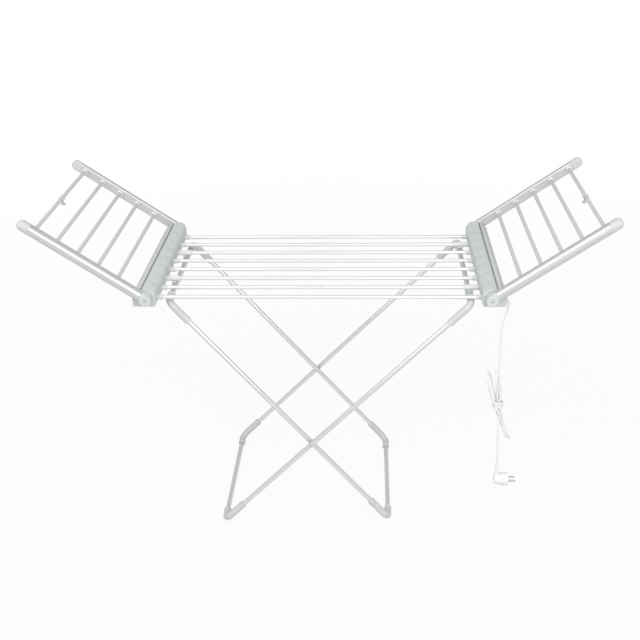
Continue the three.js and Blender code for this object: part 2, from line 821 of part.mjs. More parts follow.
// The terminal block stands on the tray's floor, with a thermal fuse in its saddle on top.
function terminalBlock() {
  const x = pivotX + heatReturnOffset;
  const floor = pivotHeight - housingDepth + housingWall + clearance;
  const top = floor + blockHeight;
  const middle = blockStart + blockLength / 2;
  const body = solidOf(
    new THREE.BoxGeometry(blockWidth, blockLength, blockHeight).translate(x, middle, floor + blockHeight / 2),
  );
  const posts = Array.from({ length: terminalCount }, (_, index) => {
    const y = blockStart + ((index + 0.5) / terminalCount) * blockLength;
    return rod(
      point(x + blockWidth / 2 - terminalDiameter / 2, y, floor),
      point(x + blockWidth / 2 - terminalDiameter / 2, y, top + terminalHeight),
      terminalDiameter,
      smallSides,
    );
  });
  const fuse = rod(
    point(x - fuseDiameter / 2, middle - fuseLength / 2, top + fuseRise),
    point(x - fuseDiameter / 2, middle + fuseLength / 2, top + fuseRise),
    fuseDiameter,
    smallSides,
  );
  return join(body, ...posts, fuse);
}

// A loop of the hank: from the strand at start up or down to its end and back to the strand at finish.
function loopPlaces(start, finish, [reach, slant], isLast) {
  const down = Math.sign(reach);
  const end = Math.abs(reach) - hankFold;
  const middleY = (start.y + finish.y) / 2;
  const half = (start.y - finish.y) / 2;
  const side = Math.sign(half);
  const runSteps = (loopSteps - turnSteps) / 2;
  const place = (share, offset, height) => {
    const free = Math.max(height - hankRun, 0);
    const x = THREE.MathUtils.lerp(start.x, finish.x, share);
    return point(x + slant * free, middleY + offset, down * height);
  };
  const rung = (step) => {
    const share = step / runSteps;
    const width = THREE.MathUtils.lerp(Math.abs(half), hankFold, THREE.MathUtils.smoothstep(share, 0, 1));
    return [side * width, THREE.MathUtils.lerp(hankRun, end, share)];
  };
  const places = [];
  for (let i = 0; i < runSteps; i++) {
    const [offset, height] = rung(i);
    places.push(place(0, offset, height));
  }
  for (let i = 0; i <= turnSteps; i++) {
    const angle = (Math.PI * i) / turnSteps;
    places.push(place(i / turnSteps, side * hankFold * Math.cos(angle), end + hankFold * Math.sin(angle)));
  }
  for (let i = runSteps - 1; i >= (isLast ? 1 : 0); i--) {
    const [offset, height] = rung(i);
    places.push(place(1, -offset, height));
  }
  return places;
}

// Points of the tied cord: its entry from above, the loops, the binding turns round them and the tail below.
function hankPlaces() {
  const ring = (angle) => point(wrapRadius * Math.cos(angle), wrapRadius * Math.sin(angle), 0);
  const heading = (angle) => point(-Math.sin(angle), Math.cos(angle), 0);
  const middle = (hankLoops.length - 1) / 2;
  const strand = (index) => point((middle - index) * hankStep, index % 2 ? hankHalf : -hankHalf, 0);
  const leadIn = ring(wrapStart).addScaledVector(heading(wrapStart), -wrapBendRadius);
  const entry = strand(0);
  const places = [point(entry.x, entry.y, hankEntry), point(entry.x, entry.y, hankEntry - cordDiameter)];
  hankLoops.forEach((loop, index) => {
    const isLast = index === hankLoops.length - 1;
    places.push(...loopPlaces(strand(index), isLast ? leadIn : strand(index + 1), loop, isLast));
  });
  const turn = wrapEnd - wrapStart;
  const height = (wrapPitch * turn) / (2 * Math.PI);
  for (let i = 0; i <= bendSteps; i++) {
    const bend = (Math.PI / 2) * (1 - i / bendSteps);
    const place = ring(wrapStart).addScaledVector(heading(wrapStart), -wrapBendRadius * Math.sin(bend));
    place.z = height / 2 + wrapBendRadius * (1 - Math.cos(bend));
    places.push(place);
  }
  const count = Math.round((wrapSteps * turn) / (2 * Math.PI));
  for (let i = 1; i < count; i++) {
    const place = ring(wrapStart + (turn * i) / count);
    place.z = height * (0.5 - i / count);
    places.push(place);
  }
  for (let i = 0; i <= bendSteps; i++) {
    const bend = ((Math.PI / 2) * i) / bendSteps;
    const place = ring(wrapEnd).addScaledVector(heading(wrapEnd), wrapBendRadius * Math.sin(bend));
    place.z = -height / 2 - wrapBendRadius * (1 - Math.cos(bend));
    places.push(place);
  }
  const tail = places[places.length - 1].clone();
  const top = tail.z - tailRun;
  const bottom = plugNeckTop + clearance - hankWaist.z;
  for (let i = 0; i <= tailSteps; i++) {
    const share = i / tailSteps;
    const shift = tailShift * THREE.MathUtils.smoothstep(share, 0, 1);
    places.push(point(tail.x + shift, tail.y, THREE.MathUtils.lerp(top, bottom, share)));
  }
  return places.map((place) => place.add(hankWaist));
}

// The least distance between stretches of the hank that aren't neighbours along the cord, less its diameter.
function leastGap(places) {
  const curve = new THREE.CatmullRomCurve3(places);
  const fine = curve.getSpacedPoints(gapSamples);
  const skip = Math.ceil((hankNeighbour * gapSamples) / curve.getLength());
  let least = Infinity;
  for (let i = 0; i < fine.length; i++)
    for (let k = i + skip; k < fine.length; k++) least = Math.min(least, fine[i].distanceTo(fine[k]));
  return least - cordDiameter;
}

// The supply cord's way from the terminal block through the wall, round the curve outside it and down.
function supplyPlaces() {
  const inside = cordInside.map((place) => point(...place));
  const fall = cordFall.map(([x, z]) => point(x, cordPlane, z));
  return [...inside, ...exitPlaces(0, cordExitTurn * cordExitBend, bendSteps), ...fall];
}

// Places along the cord from the wall's outer face: straight up to there, then round the curve.
function exitPlaces(from, to, steps) {
  const places = [];
  const heading = new THREE.Vector2(Math.cos(cordExitFall), -Math.sin(cordExitFall));
  const centre = new THREE.Vector2(-Math.sin(cordExitFall), -Math.cos(cordExitFall))
    .multiplyScalar(cordExitBend)
    .add(cordExit)
    .addScaledVector(heading, reliefStraight);
  for (let i = 0; i <= steps; i++) {
    const run = THREE.MathUtils.lerp(from, to, i / steps);
    const angle = Math.PI / 2 - cordExitFall - run / cordExitBend;
    const x = centre.x + cordExitBend * Math.cos(angle);
    const z = centre.y + cordExitBend * Math.sin(angle);
    const straight = Math.min(run, 0);
    const start = cordExit.clone().addScaledVector(heading, reliefStraight + straight);
    places.push(run > 0 ? point(x, cordPlane, z) : point(start.x, cordPlane, start.y));
  }
  return places;
}

// A tapered sleeve with shallow grooves, moulded round the cord where it leaves the housing.
function strainRelief() {
  const places = exitPlaces(-2 * reliefStraight, reliefOutside, reliefSteps);
  const radii = places.map((place, i) => {
    const share = i / reliefSteps;
    const isGroove = i > 1 && i < reliefSteps - 1 && i % 2;
    return THREE.MathUtils.lerp(reliefDiameter, reliefTip, share) / 2 - (isGroove ? reliefGroove : 0);
  });
  const core = exitPlaces(-2 * reliefStraight - overrun, reliefOutside + overrun, 2 * reliefSteps);
  return cut(lofted(places, radii, tubeSides), lofted(core, evenly(reliefBore / 2, core), cordSides));
}

// A free stretch of cord through the given places.
function cordStretch(places, steps) {
  const radius = cordDiameter / 2;
  const section = Array.from({ length: cordSides }, (_, k) => {
    const angle = (2 * Math.PI * k) / cordSides;
    return new THREE.Vector2(radius * Math.cos(angle), radius * Math.sin(angle));
  });
  return solidOf(
    new THREE.ExtrudeGeometry(new THREE.Shape(section), {
      steps,
      bevelEnabled: false,
      extrudePath: new THREE.CatmullRomCurve3(places),
    }),
  );
}

function plugSolid(neck) {
  const axisZ = neck.z - plugAxisDrop;
  const back = neck.x - plugCordOffset;
  const middle = back + plugBackLength;
  const face = middle + plugFaceLength;
  const faceRadius = plugFaceDiameter / 2;
  const backRadius = plugBackDiameter / 2;
  const body = turned(
    [
      [0, 0],
      [backRadius - plugChamfer, 0],
      [backRadius, plugChamfer],
      [faceRadius, plugBackLength],
      [faceRadius, plugBackLength + plugFaceLength - plugRim],
      [faceRadius - plugRim, plugBackLength + plugFaceLength],
      [0, plugBackLength + plugFaceLength],
    ],
    point(back, neck.y, axisZ),
    point(face, neck.y, axisZ),
    discSides,
  );
  const sleeve = turned(
    [
      [0, 0],
      [plugNeckTip / 2, 0],
      [plugNeckDiameter / 2, plugAxisDrop - backRadius],
      [plugNeckDiameter / 2, plugAxisDrop],
      [0, plugAxisDrop],
    ],
    neck,
    point(neck.x, neck.y, axisZ),
    tubeSides,
  );
  const pins = [-1, 1].map((side) =>
    turned(
      [
        [0, 0],
        [pinDiameter / 2, 0],
        [pinDiameter / 2, pinLength],
        [pinDiameter / 2 - pinPoint, pinLength + pinPoint],
        [0, pinLength + pinPoint],
      ],
      point(face - pinPoint, neck.y + (side * pinSpacing) / 2, axisZ),
      point(face + pinLength, neck.y + (side * pinSpacing) / 2, axisZ),
      tubeSides,
    ),
  );
  return join(body, sleeve, ...pins);
}

function addCord(parent) {
  const hank = hankPlaces();
  console.log("least gap in the cord hank: " + leastGap(hank).toFixed(2) + " mm");
  const supply = supplyPlaces();
  const meeting = hank[0].clone();
  meeting.z += clearance;
  supply.push(meeting);
  const neck = hank[hank.length - 1].clone();
  neck.z = plugNeckTop;
  addPiece(parent, "strain_relief", strainRelief(), fittingGrey);
  addPiece(parent, "supply_cord", cordStretch(supply, supplyCordSteps), cordWhite);
  addPiece(parent, "cord_hank", lofted(hank, evenly(cordDiameter / 2, hank), hankSides), cordWhite);
  addPiece(parent, "plug", plugSolid(neck), fittingGrey);
}

const airer = new THREE.Group();
addHousing(airer, "left", -1);
addHousing(airer, "right", 1);
addPanelBars(airer);
addClips(airer);
addPiece(airer, "heating_cable", heatingCable(), cableRed);
addPiece(airer, "terminal_block", terminalBlock(), blockCream);
addWing(airer, "left", -1);
addWing(airer, "right", 1);
addLegs(airer, "inner", -legTopSpan / 2, innerRun, innerLegSpan, false);
addLegs(airer, "outer", legTopSpan / 2, outerRun, outerLegSpan, true);
addCord(airer);

export default airer;
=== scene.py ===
import math

import bpy
import numpy as np
from mathutils import Matrix


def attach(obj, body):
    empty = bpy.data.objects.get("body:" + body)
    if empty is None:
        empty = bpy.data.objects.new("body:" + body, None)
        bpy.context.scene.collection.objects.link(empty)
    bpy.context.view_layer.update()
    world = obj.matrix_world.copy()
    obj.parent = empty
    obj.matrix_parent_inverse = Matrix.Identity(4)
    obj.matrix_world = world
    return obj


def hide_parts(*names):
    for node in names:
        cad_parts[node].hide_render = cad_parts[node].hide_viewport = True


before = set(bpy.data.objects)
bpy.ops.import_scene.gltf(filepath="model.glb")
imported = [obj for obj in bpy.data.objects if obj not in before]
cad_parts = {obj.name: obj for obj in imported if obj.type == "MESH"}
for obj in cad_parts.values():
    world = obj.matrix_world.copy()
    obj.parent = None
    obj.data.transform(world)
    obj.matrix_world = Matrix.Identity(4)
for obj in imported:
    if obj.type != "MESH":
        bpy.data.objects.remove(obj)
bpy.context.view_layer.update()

# Everything is in metres: +X to the right wing, -Y to the front, Z up from the floor.
layout = {
    "pivotX": 0.430,
    "pivotZ": 0.697,
    "railY": 0.2605,
    "wingTilt": math.radians(34.5),
    "legTopX": 0.384,
    "legTopZ": 0.669,
    "footZ": 0.009,
    "barZ": 0.6855,
    "fit": 0.0003,
}
sides = (("left", -1), ("right", 1))
ends = (("Near", -1), ("Far", 1))
pinpoint = 0.0004  # radius at which a turned shape is closed on its axis

# Helpers for surfaces


def unit(vectors):
    # each vector over its own length
    vectors = np.asarray(vectors, float)
    return vectors / np.maximum(np.linalg.norm(vectors, axis=-1, keepdims=True), 1e-12)


def runLength(points, closed=False):
    # distance along a line of points, with its closing stretch where it is closed
    line = np.concatenate([points, points[:1]]) if closed else points
    return np.concatenate([[0], np.cumsum(np.linalg.norm(np.diff(line, axis=0), axis=1))])


def smooth(share):
    # from 0 to 1 without a corner: 3 times the square less twice the cube
    share = np.clip(share, 0, 1)
    return share * share * (3 - 2 * share)


def rounded(corners, closed=True, steps=4):
    # a flat line of corners, each with a radius as third number. The arc touches both sides of its corner, so
    # it starts before the corner by the radius times the tangent of half the turn.
    corners = np.array(corners, float)
    corner, radius = corners[:, :2], corners[:, 2].copy()
    before = unit(corner - np.roll(corner, 1, axis=0))
    after = np.roll(before, -1, axis=0)
    if not closed:
        radius[[0, -1]] = 0
    turn = np.arctan2(before[:, 0] * after[:, 1] - before[:, 1] * after[:, 0], (before * after).sum(1))
    inward = np.stack([-before[:, 1], before[:, 0]], axis=1) * np.sign(turn)[:, None]
    start = corner - before * (radius * np.tan(np.abs(turn) / 2))[:, None]
    angle = np.abs(turn)[:, None] * np.linspace(0, 1, steps + 1)
    arc = np.sin(angle)[..., None] * before[:, None] + (1 - np.cos(angle))[..., None] * inward[:, None]
    line = (start[:, None] + radius[:, None, None] * arc).reshape(-1, 2)
    step = np.linalg.norm(line - np.roll(line, 1, axis=0), axis=1)
    step[0] = step[0] if closed else 1
    return line[step > 1e-6]


def arcLine(radius, start, end, steps, centre=(0, 0)):
    # centre plus radius times cosine and sine, at equal angles in degrees
    angle = np.radians(np.linspace(start, end, steps + 1))
    return np.stack([centre[0] + radius * np.cos(angle), centre[1] + radius * np.sin(angle)], axis=1)


def capPlan(points):
    # a flat end's own two coordinates, for its UV
    offset = points - points.mean(0)
    first = unit(offset[0])
    second = unit(np.cross(np.cross(offset[0], offset[len(offset) // 4]), first))
    return np.stack([offset @ first, offset @ second], axis=1)


def ringed(rings, along, looped=False, wrap=1.0):
    # rows of points, each a closed ring: quads between neighbouring rows, and a flat cap at each free end.
    # UV: share of a turn round the ring, metres along it.
    rows, columns = rings.shape[:2]
    row, column = np.meshgrid(np.arange(rows if looped else rows - 1), np.arange(columns), indexing="ij")
    cornerRow = np.stack([row, row, row + 1, row + 1], axis=-1).reshape(-1, 4)
    cornerColumn = np.stack([column, column + 1, column + 1, column], axis=-1).reshape(-1, 4)
    quads = cornerRow % rows * columns + cornerColumn % columns
    quadUv = np.stack([cornerColumn * (wrap / columns), along[cornerRow]], axis=-1)
    points = rings.reshape(-1, 3)
    caps, capUv = [], []
    if not looped:
        last = (rows - 1) * columns + np.arange(columns)
        caps = [np.arange(columns)[::-1], last]
        capUv = [capPlan(points[cap]) for cap in caps]
    return outward({"points": points, "quads": quads, "quadUv": quadUv, "caps": caps, "capUv": capUv})


def outward(shape):
    # a closed surface whose faces point in has a negative volume: its faces are turned round
    points, quads = shape["points"], shape["quads"]
    fans = [np.stack([np.full(len(cap) - 2, cap[0]), cap[1:-1], cap[2:]], axis=1) for cap in shape["caps"]]
    triangles = np.concatenate([quads[:, [0, 1, 2]], quads[:, [0, 2, 3]], *fans])
    a, b, c = (points[triangles[:, k]] for k in range(3))
    if (a * np.cross(b, c)).sum() < 0:
        shape["quads"], shape["quadUv"] = quads[:, ::-1], shape["quadUv"][:, ::-1]
        shape["caps"] = [cap[::-1] for cap in shape["caps"]]
        shape["capUv"] = [uv[::-1] for uv in shape["capUv"]]
    return shape


def crossAxes(axis):
    # two directions square to the axis, by cross products with Z, or with X where the axis is steep
    axis = unit(axis)
    helper = np.array([0, 0, 1.0]) if abs(axis[2]) < 0.9 else np.array([1.0, 0, 0])
    side = unit(np.cross(axis, helper))
    return axis, side, np.cross(axis, side)


def spun(profile, start, axis, around=40, looped=False):
    # each profile point, which is a radius and a distance from the start, is turned once round the axis
    profile = np.array(profile, float)
    axis, side, other = crossAxes(axis)
    angle = np.linspace(0, 2 * np.pi, around + 1)[:-1]
    rim = np.cos(angle)[:, None] * side + np.sin(angle)[:, None] * other
    radius, distance = profile[:, 0, None, None], profile[:, 1, None, None]
    rings = np.array(start, float) + distance * axis + radius * rim
    return ringed(rings, runLength(profile, looped), looped)


def rod(radius, length, start, axis, around=40, edge=0.0003):
    # a plain rod, with a small rounding at both ends
    line = [(pinpoint, 0, 0), (radius, 0, edge), (radius, length, edge), (pinpoint, length, 0)]
    return spun(rounded(line, closed=False, steps=3), start, axis, around)


def swept(path, radii, around=16):
    # a round section of the given radius carried along a path, on side directions that never twist
    path = np.array(path, float)
    heading = unit(np.gradient(path, axis=0))
    side = np.empty_like(path)
    side[0] = crossAxes(heading[0])[1]
    for i in range(1, len(path)):
        side[i] = unit(side[i - 1] - heading[i] * side[i - 1].dot(heading[i]))
    other = np.cross(heading, side)
    angle = np.linspace(0, 2 * np.pi, around + 1)[:-1][:, None]
    radius = np.broadcast_to(np.asarray(radii, float), len(path))[:, None, None]
    rings = path[:, None] + radius * (np.cos(angle) * side[:, None] + np.sin(angle) * other[:, None])
    return ringed(rings, runLength(path))


def pulled(outline, low, high, edge, origin, side):
    # a flat closed outline in X and Z, with X towards the given side, is pulled across from low to high. At
    # each rim it is offset inwards by a quarter circle of the edge radius.
    ahead = unit(np.roll(outline, -1, axis=0) - outline)
    behind = np.roll(ahead, 1, axis=0)
    area = np.sum(outline[:, 0] * np.roll(outline[:, 1], -1) - outline[:, 1] * np.roll(outline[:, 0], -1))
    inner = unit(ahead + behind)[:, ::-1] * np.array([-1, 1]) * np.sign(area)
    stretch = 1 / np.maximum(np.sqrt((1 + (ahead * behind).sum(1)) / 2), 0.5)
    turn = np.linspace(0, np.pi / 2, 4)
    inset, rise = edge * (1 - np.sin(turn)), edge * (1 - np.cos(turn))
    inset = np.concatenate([inset, inset[::-1]])
    across = np.concatenate([low + rise, high - rise[::-1]])
    flat = outline + inset[:, None, None] * (inner * stretch[:, None])
    xAxis, zAxis = np.array([side, 0, 0.0]), np.array([0, 0, 1.0])
    yAxis = np.cross(zAxis, xAxis)
    rings = np.array(origin) + flat[..., :1] * xAxis + flat[..., 1:] * zAxis + across[:, None, None] * yAxis
    return ringed(rings, across - low, wrap=runLength(outline, True)[-1])


def smoothPath(points, spacing):
    # the cubic curve through the points whose slope and curvature never jump, read at equal steps
    point = np.array(points, float)
    at = runLength(point)
    gap = np.diff(at)
    slope = np.diff(point, axis=0) / gap[:, None]
    inner = np.arange(1, len(point) - 1)
    matrix = np.zeros((len(point), len(point)))
    matrix[[0, -1], [0, -1]] = 1
    matrix[inner, inner - 1], matrix[inner, inner + 1] = gap[:-1], gap[1:]
    matrix[inner, inner] = 2 * (gap[:-1] + gap[1:])
    bend = np.zeros_like(point)
    bend[inner] = 6 * np.diff(slope, axis=0)
    bend = np.linalg.solve(matrix, bend)
    place = np.linspace(0, at[-1], int(at[-1] / spacing) + 1)
    k = np.clip(np.searchsorted(at, place, "right") - 1, 0, len(gap) - 1)
    u, h = (place - at[k])[:, None], gap[k][:, None]
    start = slope[k] - h * (2 * bend[k] + bend[k + 1]) / 6
    return point[k] + u * start + u**2 * bend[k] / 2 + u**3 * (bend[k + 1] - bend[k]) / (6 * h)


sharpAngle = math.radians(38)  # edges that bend more than this are shown sharp


def makePiece(name, shapes, finish, body, slot, *replaced):
    # one mesh of all the shapes, smooth but for its sharp edges, on its body in place of its CAD nodes
    first = np.cumsum([0] + [len(shape["points"]) for shape in shapes])
    points = np.concatenate([shape["points"] for shape in shapes])
    faces, uv = [], []
    for start, shape in zip(first, shapes):
        faces += (shape["quads"] + start).tolist() + [(cap + start).tolist() for cap in shape["caps"]]
        uv += [shape["quadUv"].reshape(-1, 2), *shape["capUv"]]
    mesh = bpy.data.meshes.new(name)
    mesh.from_pydata(points, [], faces)
    layer = mesh.uv_layers.new(name="surface")
    layer.data.foreach_set("uv", np.concatenate(uv).ravel())
    mesh.polygons.foreach_set("use_smooth", np.ones(len(faces), bool))
    mesh.set_sharp_from_angle(angle=sharpAngle)
    mesh.materials.append(finish)
    mesh.update()
    piece = bpy.data.objects.new(name, mesh)
    bpy.context.scene.collection.objects.link(piece)
    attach(piece, body)
    if replaced:
        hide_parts(*replaced)
    return piece


# Helpers for materials


def addNode(tree, kind, sockets=None, **settings):
    # a socket is given a link where its value is another node's output
    node = tree.nodes.new(kind)
    for key, value in settings.items():
        setattr(node, key, value)
    for key, value in (sockets or {}).items():
        if isinstance(value, bpy.types.NodeSocket):
            tree.links.new(value, node.inputs[key])
        else:
            node.inputs[key].default_value = value
    return node


def addMath(tree, operation, first, second=0.0, clamp=False):
    # one step of arithmetic on two numbers or links
    settings = {"operation": operation, "use_clamp": clamp}
    return addNode(tree, "ShaderNodeMath", {0: first, 1: second}, **settings).outputs[0]


def times(tree, first, second):
    # the first times the second
    return addMath(tree, "MULTIPLY", first, second)


def lessFrom(tree, first, second):
    # the first less the second
    return addMath(tree, "SUBTRACT", first, second)


def plusShare(tree, start, mask, share):
    # the start, and the mask's share on top of it
    return addMath(tree, "ADD", start, times(tree, mask, share))


def stretchedMask(tree, value, low, gain):
    # how far the value is over the low one, times the gain, held between 0 and 1
    return addMath(tree, "MULTIPLY", lessFrom(tree, value, low), gain, True)


def addMix(tree, factor, first, second):
    # the first colour at a factor of 0, the second at 1, and shares of both between
    node = addNode(tree, "ShaderNodeMix", {"Factor": factor}, data_type="RGBA")
    for socket, value in ((node.inputs[6], first), (node.inputs[7], second)):
        if isinstance(value, bpy.types.NodeSocket):
            tree.links.new(value, socket)
        else:
            socket.default_value = (*value, 1)
    return node.outputs[2]


def addNoise(tree, vector, scale, **sockets):
    # layered noise, a number from 0 to 1 at each place
    return addNode(tree, "ShaderNodeTexNoise", {"Vector": vector, "Scale": scale, **sockets}).outputs["Fac"]


def addStretch(tree, vector, factors):
    # each part of the vector times its own factor
    return addNode(tree, "ShaderNodeVectorMath", {0: vector, 1: factors}, operation="MULTIPLY").outputs[0]


def newGroup(name, inputs, outputs):
    # inputs: the vector that the pattern reads first, then its numbers
    tree = bpy.data.node_groups.new(name, "ShaderNodeTree")
    for label, value in inputs.items():
        kind = "NodeSocketVector" if value is None else "NodeSocketFloat"
        socket = tree.interface.new_socket(name=label, in_out="INPUT", socket_type=kind)
        if value is not None:
            socket.default_value = value
    for label in outputs:
        tree.interface.new_socket(name=label, in_out="OUTPUT", socket_type="NodeSocketFloat")
    return tree, tree.nodes.new("NodeGroupInput").outputs, tree.nodes.new("NodeGroupOutput").inputs


def finishGroup(tree, result, masks):
    # each value goes to the output that has its name
    for label, value in masks.items():
        tree.links.new(value, result[label])
    return tree


def drawnMetalGroup():
    # lines that a die leaves along a drawn tube, and slow clouds in its finish. The share of a turn becomes a
    # point on a circle, and the noise is read on the cylinder that it makes with the length, without a seam.
    tree, given, result = newGroup(
        "drawnMetal", {"UV": None, "Lines": 18.0, "Clouds": 9.0}, ["Height", "Lines", "Clouds"]
    )
    split = addNode(tree, "ShaderNodeSeparateXYZ", {"Vector": given["UV"]}).outputs
    angle = times(tree, split["X"], 2 * math.pi)
    ring = {"X": addMath(tree, "COSINE", angle), "Y": addMath(tree, "SINE", angle), "Z": split["Y"]}
    slow = addNode(tree, "ShaderNodeCombineXYZ", ring).outputs[0]
    lines = addNoise(tree, addStretch(tree, slow, (1, 1, 0.12)), given["Lines"], Detail=2.0)
    clouds = addNoise(tree, slow, given["Clouds"], Detail=3.0)
    masks = {"Lines": stretchedMask(tree, lines, 0.35, 3.0), "Clouds": stretchedMask(tree, clouds, 0.3, 2.5)}
    return finishGroup(tree, result, {"Height": lines, **masks})


def mouldGrainGroup():
    # fine eroded grain of a moulding tool, which is noise on round cells, and wide flow marks in the plastic
    tree, given, result = newGroup(
        "mouldGrain", {"Place": None, "Grain": 900.0, "Flow": 14.0}, ["Height", "Specks", "Flow"]
    )
    grain = addNoise(tree, given["Place"], given["Grain"], Detail=3.0, Roughness=0.6)
    cells = addNode(tree, "ShaderNodeTexVoronoi", {"Vector": given["Place"], "Scale": given["Grain"]})
    flow = addNoise(tree, given["Place"], given["Flow"], Detail=4.0, Distortion=0.8)
    masks = {"Specks": stretchedMask(tree, grain, 0.4, 4.0), "Flow": stretchedMask(tree, flow, 0.3, 2.5)}
    height = plusShare(tree, grain, cells.outputs["Distance"], 0.5)
    return finishGroup(tree, result, {"Height": height, **masks})


def handlingGroup():
    # where hands have polished or dulled a surface: a few wide soft patches with thin scuffs in them
    tree, given, result = newGroup("handling", {"Place": None, "Patches": 11.0}, ["Polish", "Scuffs"])
    polish = stretchedMask(tree, addNoise(tree, given["Place"], given["Patches"], Detail=2.0), 0.48, 5.0)
    scuff = addNoise(tree, addStretch(tree, given["Place"], (420.0, 60.0, 260.0)), 1.0, Detail=6.0)
    scuffs = times(tree, stretchedMask(tree, scuff, 0.62, 9.0), polish)
    return finishGroup(tree, result, {"Polish": polish, "Scuffs": scuffs})


drawnMetal, mouldGrain, handling = drawnMetalGroup(), mouldGrainGroup(), handlingGroup()


def newMaterial(name):
    # an empty shader, and the coordinates that its patterns read
    material = bpy.data.materials.new(name)
    material.use_nodes = True
    tree = material.node_tree
    tree.nodes.clear()
    shader = addNode(tree, "ShaderNodeBsdfPrincipled")
    addNode(tree, "ShaderNodeOutputMaterial", {"Surface": shader.outputs[0]})
    return material, tree, shader, addNode(tree, "ShaderNodeTexCoord").outputs


def placeGroup(tree, group, sockets):
    # the group's outputs, for the numbers given to its sockets
    return addNode(tree, "ShaderNodeGroup", sockets, node_tree=group).outputs


def setSurface(tree, shader, colour, rough, height, depth):
    # the depth is what a height of 1 stands for, in metres
    bump = addNode(tree, "ShaderNodeBump", {"Height": height, "Distance": depth, "Strength": 1.0})
    linked = {"Base Color": colour, "Roughness": rough, "Normal": bump.outputs[0]}
    for label, value in linked.items():
        tree.links.new(value, shader.inputs[label])


def metalFinish(name, values):
    # drawn tube: its lines shade the colour, roughen it and give it a fine relief, and hands polish it in
    # places. The lines and the clouds are shades of the colour, darker or lighter by what their numbers say.
    material, tree, shader, coordinates = newMaterial(name)
    sockets = {"UV": coordinates["UV"], "Lines": values["lines"], "Clouds": values["clouds"]}
    drawn = placeGroup(tree, drawnMetal, sockets)
    touched = placeGroup(tree, handling, {"Place": coordinates["Object"], "Patches": values["patches"]})
    lineColour = [part + values["lineShade"] for part in values["colour"]]
    cloudColour = [part + values["cloudShade"] for part in values["colour"]]
    lined = addMix(tree, drawn["Lines"], values["colour"], lineColour)
    clouded = addMix(tree, times(tree, drawn["Clouds"], values["cloudShare"]), lined, cloudColour)
    rough = plusShare(tree, values["roughness"], drawn["Lines"], values["lineRoughness"])
    rough = plusShare(tree, rough, touched["Polish"], -values["polish"])
    rough = plusShare(tree, rough, touched["Scuffs"], values["polish"])
    setSurface(tree, shader, clouded, rough, drawn["Height"], values["depth"])
    shader.inputs["Metallic"].default_value = values["metallic"]
    shader.inputs["Specular Tint"].default_value = (*[values["edgeTint"]] * 3, 1)
    return material


def plasticFinish(name, values):
    # moulded plastic: eroded grain in the relief, flow marks in the colour, polish and scuffs in the gloss
    material, tree, shader, coordinates = newMaterial(name)
    sockets = {"Place": coordinates["Object"], "Grain": values["grain"], "Flow": values["flow"]}
    grain = placeGroup(tree, mouldGrain, sockets)
    touched = placeGroup(tree, handling, {"Place": coordinates["Object"], "Patches": values["patches"]})
    flowed = addMix(tree, grain["Flow"], values["colour"], values["flowColour"])
    specked = addMix(tree, times(tree, grain["Specks"], values["speckShare"]), flowed, values["speckColour"])
    scuffs = times(tree, touched["Scuffs"], values["scuffShare"])
    scuffed = addMix(tree, scuffs, specked, values["scuffColour"])
    rough = plusShare(tree, values["roughness"], grain["Specks"], values["speckRoughness"])
    rough = plusShare(tree, rough, touched["Polish"], -values["polish"])
    setSurface(tree, shader, scuffed, rough, grain["Height"], values["depth"])
    return material


# Camera

cameraValues = {
    "place": (0.1211, -2.5897, 1.7233),
    "yaw": 0.0499,
    "pitch": 0.4343,
    "roll": -0.0197,
    "focal": 1027.54,  # pixels, in a picture 640 wide
    "width": 640,
    "clipEnd": 50,
}


def placed(data, right, top, back, place):
    # a new object at the place, with its own three axes
    matrix = np.eye(4)
    matrix[:3] = np.stack([right, top, back, place], axis=1)
    item = bpy.data.objects.new(data.name, data)
    bpy.context.scene.collection.objects.link(item)
    item.matrix_world = Matrix(matrix)
    return item


def addCamera(values):
    # turned to the side by the yaw, down by the pitch, then about its own axis by the roll
    yaw, pitch, roll = values["yaw"], values["pitch"], values["roll"]
    level = np.array([math.cos(yaw), math.sin(yaw), 0])
    ahead = np.array([-math.sin(yaw), math.cos(yaw), 0])
    up = np.array([0, 0, 1.0])
    forward = ahead * math.cos(pitch) - up * math.sin(pitch)
    upward = ahead * math.sin(pitch) + up * math.cos(pitch)
    right = level * math.cos(roll) + upward * math.sin(roll)
    top = upward * math.cos(roll) - level * math.sin(roll)
    data = bpy.data.cameras.new("camera")
    data.lens = values["focal"] / values["width"] * data.sensor_width
    data.clip_end = values["clipEnd"]
    bpy.context.scene.camera = placed(data, right, top, -forward, values["place"])


addCamera(cameraValues)
print("camera placed")


# Lead: one cord from the terminal block through the wall, down, tied in a hank, to the plug

cordValues = {
    "diameter": 0.0052,
    "plane": -0.236,
    "exit": (0.467, 0.690),
    "exitFall": math.radians(45),
    "bendRadius": 0.021,
    "bendTurn": math.radians(60),
    "straight": 0.0034,
    "inside": [  # from the block to the wall
        (0.4585, -0.2223, 0.6950),
        (0.4585, -0.2270, 0.6952),
        (0.4593, -0.2315, 0.6950),
        (0.4614, -0.2350, 0.6946),
    ],
    "fall": [  # X and height, from the housing to the hank
        (0.4716, 0.6530),
        (0.4636, 0.6190),
        (0.4610, 0.5880),
        (0.4608, 0.5580),
        (0.4616, 0.5000),
        (0.4634, 0.4560),
        (0.4674, 0.4370),
        (0.4691, 0.4295),
    ],
    "spacing": 0.0012,
    "around": 16,
}
hankValues = {
    "waist": (0.464, -0.2324, 0.386),
    "half": 0.0036,
    "fold": 0.0156,
    "step": 0.0034,
    "run": 0.0125,
    "entry": 0.038,
    "loops": [(-0.099, 0.35), (0.094, -0.123), (-0.095, 0.35), (0.094, -0.258)],  # reach and slant
    "wrapRadius": 0.0122,
    "wrapPitch": 0.006,
    "wrapStart": math.radians(242),
    "wrapEnd": math.radians(1315),
    "wrapBend": 0.011,
    "tailRun": 0.006,
    "tailShift": 0.003,
    "tailEnd": 0.207,
}


